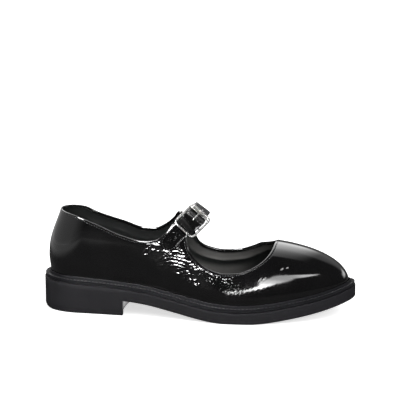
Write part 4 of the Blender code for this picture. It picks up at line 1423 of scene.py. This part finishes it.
def strapSlice(distance, half, wobble):
    # widths and heights round one slice of the strap
    start, change, least = strap["crownFade"]
    crown = strap["crown"] * min(1.0, max(least, (distance - start) / change))
    section = bandSection(half, strap["thickness"], crown, strap["edge"], strap["sectionSteps"])
    filling = strap["fillBuckle"] * bell(distance, *strap["fillPlace"], 4)
    width = section[:, 0] * (1.0 + filling / half)
    height = section[:, 1]
    onTop = height > 0.6 * strap["thickness"]
    start, change = strap["curlPlace"]
    curl = strap["curl"] * min(1.0, max(0.0, (start - distance) / change))
    height += np.where(onTop & (width < 0.0), curl * (width / half) ** 2, 0.0)
    bent = sum(share * bell(distance, place, reach) for place, reach, share in strap["bends"])
    relief = strap["bendDepth"] * bent * wobble(np.full_like(width, distance / 1.7), width / 5.0)
    relief += strap["waveDepth"] * wobble(np.full_like(width, distance / 3.3 + 9.0), width / 3.0)
    seam = bell(np.abs(width), half - strap["seamInset"], strap["seamWidth"])
    height += np.where(onTop, relief - strap["seamDepth"] * seam, 0.0)
    return width, height


def makeStrap():
    tip, end, rounded = strap["tip"], strap["innerEnd"], strap["tipRound"]
    rounding = rounded * (1.0 - np.cos(np.radians(np.linspace(0.0, 84.0, 14))))
    straight = np.linspace(tip + rounded + 0.3, end - rounded - 0.3, strap["steps"])
    distances = np.concatenate((tip + rounding, straight, end - rounding[::-1]))
    halves = strapHalfWidth(distances)
    points, _, across, normals = strapPath.frames(distances)
    lifts = smoothCurve(strap["lift"], distances)
    wobble = Noise(strap["seed"])
    rows = []
    for k, distance in enumerate(distances):
        width, height = strapSlice(distance, halves[k], wobble)
        rows.append(points[k] + across[k] * width[:, None] + normals[k] * (lifts[k] + height)[:, None])
    piece = loft("instepStrap", rows, "patent")
    # two spare holes, and a slot for the prong
    cutters = []
    for number, distance in enumerate(strap["holes"]):
        spot, _, _, normal = strapPath.frames(distance)
        matrix = Vector(normal[0]).to_track_quat("Z", "Y").to_matrix().to_4x4()
        matrix.translation = Vector(toMetres(spot[0]))
        cutters.append(cylinderCutter("strapHole%d" % (number + 1), strap["holeRadius"], 9.0, matrix))
    start, end = strap["slot"]
    matrix = bucklePlane() @ Matrix.Translation((0.5 * (start + end) * mm, 0.0, 0.0))
    cutters.append(boxCutter("prongSlot", (end - start, strap["slotWidth"], 12.0), matrix))
    cutWith(piece, cutters)
    local = np.array([vertex.co for vertex in piece.data.vertices])
    crinkled = np.full(len(local), strap["calm"])
    for distance, reach, strength in strap["crinkles"]:
        centre = toMetres(strapPath.frames(distance)[0][0])
        crinkled += strength * bell(np.linalg.norm(local - centre, axis=1), 0.0, reach)
    addLayer(piece.data, "crinkle", np.clip(crinkled, 0.0, 1.0))
    pebbles = np.clip(strap["pebbleShare"] * (crinkled - 0.25), 0.0, strap["pebbleLimit"])
    addLayer(piece.data, "pebbles", pebbles)
    finishPiece(piece, "patent_leather", "instep_strap")


def seamLine(distances, side):
    # points and normals on top of the strap, beside one edge
    points, _, across, normals = strapPath.frames(distances)
    inset = side * (strapHalfWidth(distances) - strap["seamInset"])
    height = smoothCurve(strap["lift"], distances) + strap["thickness"] + 0.02
    return points + across * inset[:, None] + normals * height[:, None], normals


def makeStrapStitches():
    # a row of thread along both edges and round the free end
    tip, rounded = strap["tip"], strap["tipRound"]
    before, after = strap["stitchStops"]
    turning = tip + rounded * (1.0 - np.sin(np.radians(np.linspace(4.0, 76.0, 24))))
    freeEnd = np.concatenate((np.linspace(before, tip + rounded, 60), turning))
    there, normals = seamLine(freeEnd, 1.0)
    back, _ = seamLine(freeEnd, -1.0)
    routes = [(np.concatenate((there, back[::-1])), np.concatenate((normals, normals[::-1])))]
    overInstep = np.linspace(after, strap["innerEnd"] - rounded, 140)
    routes += [seamLine(overInstep, side) for side in (-1.0, 1.0)]
    finishPiece(stitchMesh("strapStitches", routes, strap["stitch"], "thread"), "patent_leather")


def fromBucklePlane(points):
    # points are given in millimetres in the buckle's own plane
    plane = np.array(bucklePlane())
    world = np.asarray(points) * mm @ plane[:3, :3].T + plane[:3, 3]
    return world / mm + np.array((soleMiddle[0], soleMiddle[1], 0.0))


def sweep(name, centres, normals, sections, closed=False):
    # steel wire: sections (across, up) swept along centres in the buckle's own plane
    if closed:
        forward = unit(np.roll(centres, -1, axis=0) - np.roll(centres, 1, axis=0))
    else:
        forward = unit(np.gradient(centres, axis=0))
    across = unit(np.cross(forward, normals))
    up = np.cross(across, forward)
    rows = []
    for k, centre in enumerate(centres):
        section = sections[k % len(sections)]
        rows.append(fromBucklePlane(centre + across[k] * section[:, :1] + up[k] * section[:, 1:]))
    return loft(name, rows, "steel", closed)


def roundSection(radius, squareness=2.0, sides=20, flat=1.0):
    angles = np.linspace(0.0, 2.0 * math.pi, sides, endpoint=False)
    x = np.sign(np.cos(angles)) * np.abs(np.cos(angles)) ** (2.0 / squareness)
    y = np.sign(np.sin(angles)) * np.abs(np.sin(angles)) ** (2.0 / squareness)
    return np.column_stack((x * radius, y * radius * flat))


def roundedLoop(halfLength, halfWidth, corner, spacing=0.5):
    # points round a rectangle with round corners, about evenly spaced
    centres = []
    for quarter in range(4):
        middleX = buckle["shift"] + (halfLength - corner) * (1 if quarter in (0, 3) else -1)
        middleY = (halfWidth - corner) * (1 if quarter in (0, 1) else -1)
        for angle in np.linspace(0.0, rightAngle, 15):
            turn = quarter * rightAngle + angle
            centres.append((middleX + corner * math.cos(turn), middleY + corner * math.sin(turn), 0.0))
    centres = np.array(centres)
    dense = []
    for here, following in zip(centres, np.roll(centres, -1, axis=0)):
        steps = max(1, int(np.linalg.norm(following - here) / spacing))
        dense += [here + (following - here) * t / steps for t in range(steps)]
    return np.array(dense)


def makeBuckle():
    # a wire frame whose far side is a flat rest for the pin, with a bead along its inner edge
    upwards = np.array((0.0, 0.0, 1.0))
    halfLength = 0.5 * buckle["length"] - buckle["wire"]
    halfWidth = 0.5 * buckle["width"] - buckle["wire"]
    loop = roundedLoop(halfLength, halfWidth, buckle["corner"])
    section = roundSection(buckle["wire"], 2.5, 24, 0.92)
    finishPiece(sweep("buckleFrame", loop, upwards, [section], True), "buckle_steel", "buckle_frame")
    below, edge, middle = buckle["restHeights"]
    far = buckle["shift"] + halfLength
    across = np.linspace(-halfWidth, halfWidth, buckle["steps"])
    bowed = far - buckle["restLength"] + buckle["restBow"] * (np.abs(across) / halfWidth) ** 8
    line = np.column_stack((bowed, across, np.full_like(across, edge)))
    bead = sweep("restBead", line, upwards, [roundSection(buckle["innerWire"], 2.0, 16)])
    finishPiece(bead, "buckle_steel")
    rows = []
    for x, y in zip(bowed, across):
        rows.append(fromBucklePlane((
            (x, y, below), (x, y, edge), (0.5 * (x + far), y, middle), (far, y, edge), (far, y, below),
        )))
    finishPiece(loft("pinRest", rows, "steel"), "buckle_steel")
    bar = np.linspace(-halfWidth, halfWidth, buckle["barSteps"])
    line = np.column_stack((np.zeros_like(bar), bar, np.zeros_like(bar)))
    finishPiece(sweep("buckleBar", line, upwards, [roundSection(buckle["bar"])]), "buckle_steel")


def makeProng():
    # the pin rises over the strap and comes down on its rest
    rest = buckle["wire"] + 0.3 + buckle["prong"]
    far = buckle["shift"] + 0.5 * buckle["length"] - buckle["wire"]
    rise = buckle["prongRise"] + [(far, rest), (far + buckle["wire"] + 0.5, rest - 0.25)]
    places = np.linspace(rise[0][0], rise[-1][0], buckle["steps"])
    line = np.column_stack((places, np.zeros_like(places), fairCurve(rise, 1, 0.5)(places)))
    taper = np.interp(np.linspace(0.0, 1.0, len(places)), *zip(*buckle["prongTip"]))
    sections = [roundSection(buckle["prong"] * share, 2.0, 16) for share in taper]
    pin = sweep("bucklePin", line, np.array((0.0, 0.0, 1.0)), sections)
    finishPiece(pin, "buckle_steel", "buckle_prong")
    angles = np.linspace(0.0, 2.0 * math.pi, buckle["ringSteps"], endpoint=False)
    circle = buckle["ring"] * np.array((np.cos(angles), np.sin(angles)))
    line = np.column_stack((circle[0], np.zeros_like(angles), circle[1]))
    section = roundSection(buckle["ringWire"], 2.0, 12, 1.4)
    finishPiece(sweep("pinRing", line, np.array((0.0, 1.0, 0.0)), [section], True), "buckle_steel")


def makeTab():
    # leather loop that holds the buckle's bar, sewn inside the outer side
    distances = np.linspace(tab["start"], tab["end"], tab["steps"])
    points, _, across, normals = strapPath.frames(distances)
    levels = smoothCurve(tab["level"], distances)
    section = bandSection(0.5 * tab["width"], tab["thickness"], 0.05, 0.25, 16)
    rows = []
    for k, level in enumerate(levels):
        rows.append(points[k] + across[k] * section[:, :1] + normals[k] * (level + section[:, 1:]))
    piece = loft("buckleTab", rows, "patent")
    plane = bucklePlane()
    upright = plane @ Matrix.Rotation(rightAngle, 4, "X")
    cutWith(piece, [cylinderCutter("tabLoop", tab["loopOuter"], tab["width"], upright)], "UNION")
    bore = cylinderCutter("tabBore", tab["loopInner"], tab["width"] + 6.0, upright)
    cutWith(piece, [bore, boxCutter("tabSlot", tab["slot"], plane)])
    addLayer(piece.data, "crinkle", np.full(len(piece.data.vertices), tab["crinkle"]))
    finishPiece(piece, "patent_leather", "buckle_tab")


makeStrap()
makeStrapStitches()
makeBuckle()
makeProng()
makeTab()
print("strap and buckle ready")


studio = {
    "floorSize": 14.0,
    "floorColour": 0.86,
    "floorRoughness": 0.9,
    "floorGlow": 0.65,
    "floorInGloss": 0.055,
    "skyForCamera": 1.0,
    "skyInGloss": 0.016,
    "skyForMatte": 0.92,
    "sun": 2.1,
    "sunSpread": 60.0,
    "sunFrom": (50.0, 42.0),  # azimuth and elevation
    "shoeMiddle": 0.04,  # height of the point that panels and bent lights face
    # flat lights: middle, lean in degrees, width and height, strength, soft edges across and up
    "boards": [
        ("ceiling", (-0.56, 1.30, 1.0), 0.0, (2.21, 2.60), 0.85, (0.40, 0.07)),
        ("ceilingGlow", (-0.56, 1.30, 1.01), 0.0, (2.21, 2.60), 1.6, (0.40, 0.75)),
        ("backWall", (0.15, 1.60, 1.70), 90.0, (4.1, 3.6), 0.36, (1.0, 1.2)),
        ("heelFloor", (-1.05, 0.0, 0.0005), 0.0, (1.5, 2.6), 0.42, (0.22, 0.4)),
        ("archFloor", (-0.030, 0.055, 0.0006), 0.0, (0.13, 0.17), 0.85, (0.012, 0.04)),
    ],
    # lights that face the shoe: azimuth, elevation, distance, width and height, strength, soft edges
    "panels": [
        ("highLight", -27.0, 37.5, 1.4, (0.45, 0.72), 72.0, (0.07, 0.10)),
        ("innerLight", 132.0, 12.0, 1.7, (1.10, 0.50), 2.4, (0.40, 0.20)),
    ],
    # bent lights, each a row of azimuth, elevation, half width in degrees and strength
    "bandLight": [
        (-14.0, -5.4, 0.5, 0.0), (-11.0, -3.0, 0.6, 14.0), (-7.0, -0.2, 0.7, 18.0), (0.0, 3.6, 0.9, 18.0),
        (5.0, 7.0, 1.0, 18.0), (9.0, 9.8, 1.2, 20.0), (14.0, 13.0, 2.0, 24.0), (19.0, 17.6, 3.6, 21.0),
        (22.0, 23.0, 5.8, 11.0), (25.0, 26.2, 6.0, 8.0), (28.0, 29.5, 6.4, 5.0), (32.0, 33.5, 6.0, 4.5),
        (37.0, 35.0, 5.0, 5.0), (44.0, 35.2, 4.2, 7.0), (52.0, 35.6, 3.0, 7.5), (60.0, 35.9, 2.0, 5.0),
        (67.0, 36.2, 1.2, 0.0),
    ],
    "heelLight": [
        (-176.0, 10.0, 20.0, 0.0), (-150.0, 10.0, 20.0, 0.42), (-80.0, 10.0, 18.0, 0.42),
        (-46.0, 9.0, 18.0, 0.38), (-33.0, 8.0, 16.0, 0.2), (-22.0, 8.0, 14.0, 0.0),
    ],
    "bentReach": 1.5,
    "bentSoft": 0.4,
    "bentSteps": 160,
}

camera = {
    "focal": 185.6,
    "sensor": 36.0,
    "aim": (-0.0008, 0.0164, 0.0925),
    "azimuth": 10.62,
    "elevation": 11.84,
    "distance": 1.7844,
    "roll": -0.48,
}


def lightPathMix(tree, first, second, ray):
    # first for ordinary rays, second for the rays of one kind
    rays = tree.nodes.new("ShaderNodeLightPath")
    mix = tree.nodes.new("ShaderNodeMixShader")
    tree.links.new(rays.outputs[ray], mix.inputs["Fac"])
    tree.links.new(first, mix.inputs[1])
    tree.links.new(second, mix.inputs[2])
    return mix.outputs["Shader"]


def flatSheet(name, x, y):
    # a rectangle with these half sizes
    mesh = bpy.data.meshes.new(name)
    mesh.from_pydata([(-x, -y, 0), (x, -y, 0), (x, y, 0), (-x, y, 0)], [], [(0, 1, 2, 3)])
    return mesh


def makeFloor():
    # pale and matte, dim where gloss mirrors it, and brighter where it is seen
    material, tree, shader, _ = nodeMaterial("paleFloor")
    shader.inputs["Base Color"].default_value = (studio["floorColour"],) * 3 + (1.0,)
    shader.inputs["Roughness"].default_value = studio["floorRoughness"]
    shader.inputs["Specular IOR Level"].default_value = 0.0
    dim = addNode(tree, "ShaderNodeBsdfDiffuse", Color=(studio["floorInGloss"],) * 3 + (1.0,))
    glow = addNode(tree, "ShaderNodeEmission", Strength=studio["floorGlow"])
    lit = addNode(tree, "ShaderNodeAddShader")
    tree.links.new(shader.outputs["BSDF"], lit.inputs[0])
    tree.links.new(glow.outputs["Emission"], lit.inputs[1])
    seen = lightPathMix(tree, shader.outputs["BSDF"], lit.outputs["Shader"], "Is Camera Ray")
    surface = lightPathMix(tree, seen, dim.outputs["BSDF"], "Is Glossy Ray")
    connect(tree, tree.nodes["Material Output"], Surface=surface)
    half = 0.5 * studio["floorSize"]
    mesh = flatSheet("floor", half, half)
    mesh.materials.append(material)
    floor = addToScene(bpy.data.objects.new("floor", mesh))


def makeSky():
    # white where it is seen, soft for matte surfaces, dark where gloss mirrors it
    world = bpy.data.worlds.new("studio")
    world.use_nodes = True
    tree = world.node_tree
    shades = []
    for strength in (studio["skyForMatte"], studio["skyInGloss"], studio["skyForCamera"]):
        shade = addNode(tree, "ShaderNodeBackground", Color=(1.0, 1.0, 1.0, 1.0), Strength=strength)
        shades.append(shade.outputs["Background"])
    mixed = lightPathMix(tree, shades[0], shades[1], "Is Glossy Ray")
    mixed = lightPathMix(tree, mixed, shades[2], "Is Camera Ray")
    connect(tree, tree.nodes["World Output"], Surface=mixed)
    bpy.context.scene.world = world


def direction(azimuth, elevation):
    # azimuth 0 looks from the outer side, +90 from the toe
    a, e = math.radians(azimuth), math.radians(elevation)
    return Vector((math.sin(a) * math.cos(e), -math.cos(a) * math.cos(e), math.sin(e)))


def fadeOut(tree, value, edge, width):
    # 1 in the middle, easing to 0 over this width before both edges
    fromMiddle = addNode(tree, "ShaderNodeMath", operation="ABSOLUTE")
    tree.links.new(value, fromMiddle.inputs[0])
    fade = addNode(tree, "ShaderNodeMapRange", interpolation_type="SMOOTHSTEP",
                   From_Min=edge, From_Max=edge - width)
    tree.links.new(fromMiddle.outputs["Value"], fade.inputs["Value"])
    return fade.outputs["Result"]


def makeGlow(name, mesh, strength, matrix=None):
    # a light that shows only in reflections; strength is worked out in its node tree
    material, tree, shader, _ = nodeMaterial(name + "Glow")
    tree.nodes.remove(shader)
    glow = addNode(tree, "ShaderNodeEmission")
    clear = addNode(tree, "ShaderNodeBsdfTransparent")
    both = addNode(tree, "ShaderNodeAddShader")
    connect(tree, glow, Strength=strength(tree))
    tree.links.new(clear.outputs["BSDF"], both.inputs[0])
    tree.links.new(glow.outputs["Emission"], both.inputs[1])
    connect(tree, tree.nodes["Material Output"], Surface=both.outputs["Shader"])
    mesh.materials.append(material)
    panel = addToScene(bpy.data.objects.new(name, mesh))
    if matrix is not None:
        panel.matrix_world = matrix
    panel.visible_camera = False
    panel.visible_shadow = False
    panel.visible_diffuse = False


def softbox(name, matrix, size, strength, soft):
    # a flat light whose edges fade out over the widths in soft
    x, y = 0.5 * size[0], 0.5 * size[1]

    def fading(tree):
        split = addNode(tree, "ShaderNodeSeparateXYZ")
        tree.links.new(addNode(tree, "ShaderNodeTexCoord").outputs["Object"], split.inputs["Vector"])
        brightness = multiply(tree, fadeOut(tree, split.outputs["X"], x, soft[0]), float(strength))
        return multiply(tree, fadeOut(tree, split.outputs["Y"], y, soft[1]), brightness)

    makeGlow(name, flatSheet(name, x, y), fading, matrix)


def bentLight(name):
    # a ribbon of light round the shoe, bright along its middle and soft along both sides
    rows = np.array(studio[name])
    places = np.linspace(rows[0, 0], rows[-1, 0], studio["bentSteps"])
    tilt, width, strength = (smoothCurve(rows[:, (0, column)], places) for column in (1, 2, 3))
    centres = [direction(azimuth, elevation) for azimuth, elevation in zip(places, tilt)]
    middle = Vector((0.0, 0.0, studio["shoeMiddle"]))
    points, glow, across = [], [], []
    for number, centre in enumerate(centres):
        ahead = centres[min(number + 1, len(centres) - 1)] - centres[max(number - 1, 0)]
        side = centre.cross(ahead).normalized() * math.tan(math.radians(width[number]))
        for share in (-1.0, 0.0, 1.0):
            points.append(tuple((centre + side * share) * studio["bentReach"] + middle))
            glow.append(max(strength[number], 0.0))
            across.append(share)
    mesh = bpy.data.meshes.new(name)
    mesh.from_pydata(points, [], gridFaces(len(centres), 3))
    addLayer(mesh, "glow", glow)
    addLayer(mesh, "across", across)

    def fading(tree):
        fade = fadeOut(tree, attribute(tree, "across"), 1.0, studio["bentSoft"])
        return multiply(tree, fade, attribute(tree, "glow"))

    makeGlow(name, mesh, fading)


def facing(place, level):
    # stands a panel at this place, square to the shoe, with its width level
    towards = -place.normalized()
    level = (level - towards * level.dot(towards)).normalized()
    middle = Vector((0.0, 0.0, studio["shoeMiddle"]))
    return axesMatrix(level, towards.cross(level), towards, place + middle)


def makeLights():
    # the sun gives matte surfaces their shape and leaves no reflection
    sun = bpy.data.lights.new("softSun", "SUN")
    sun.energy = studio["sun"]
    sun.angle = math.radians(studio["sunSpread"])
    lamp = addToScene(bpy.data.objects.new("softSun", sun))
    lamp.rotation_euler = direction(*studio["sunFrom"]).to_track_quat("Z", "Y").to_euler()
    lamp.visible_glossy = False
    for name, middle, lean, size, strength, soft in studio["boards"]:
        placed = Matrix.Translation(middle) @ Matrix.Rotation(math.radians(lean), 4, "X")
        softbox(name, placed, size, strength, soft)
    for name, azimuth, elevation, distance, size, strength, soft in studio["panels"]:
        placed = facing(direction(azimuth, elevation) * distance, direction(azimuth + 90.0, 0.0))
        softbox(name, placed, size, strength, soft)
    bentLight("bandLight")
    bentLight("heelLight")


def makeCamera():
    lens = bpy.data.cameras.new("camera")
    lens.lens = camera["focal"]
    lens.sensor_width = camera["sensor"]
    away = direction(camera["azimuth"], camera["elevation"])
    turned = away.to_track_quat("Z", "Y").to_matrix().to_4x4()
    turned = turned @ Matrix.Rotation(math.radians(camera["roll"]), 4, "Z")
    viewer = addToScene(bpy.data.objects.new("camera", lens))
    viewer.matrix_world = Matrix.Translation(Vector(camera["aim"]) + away * camera["distance"]) @ turned
    bpy.context.scene.camera = viewer


makeFloor()
makeSky()
makeLights()
makeCamera()
bpy.context.scene.view_settings.view_transform = "Standard"
print("studio ready")
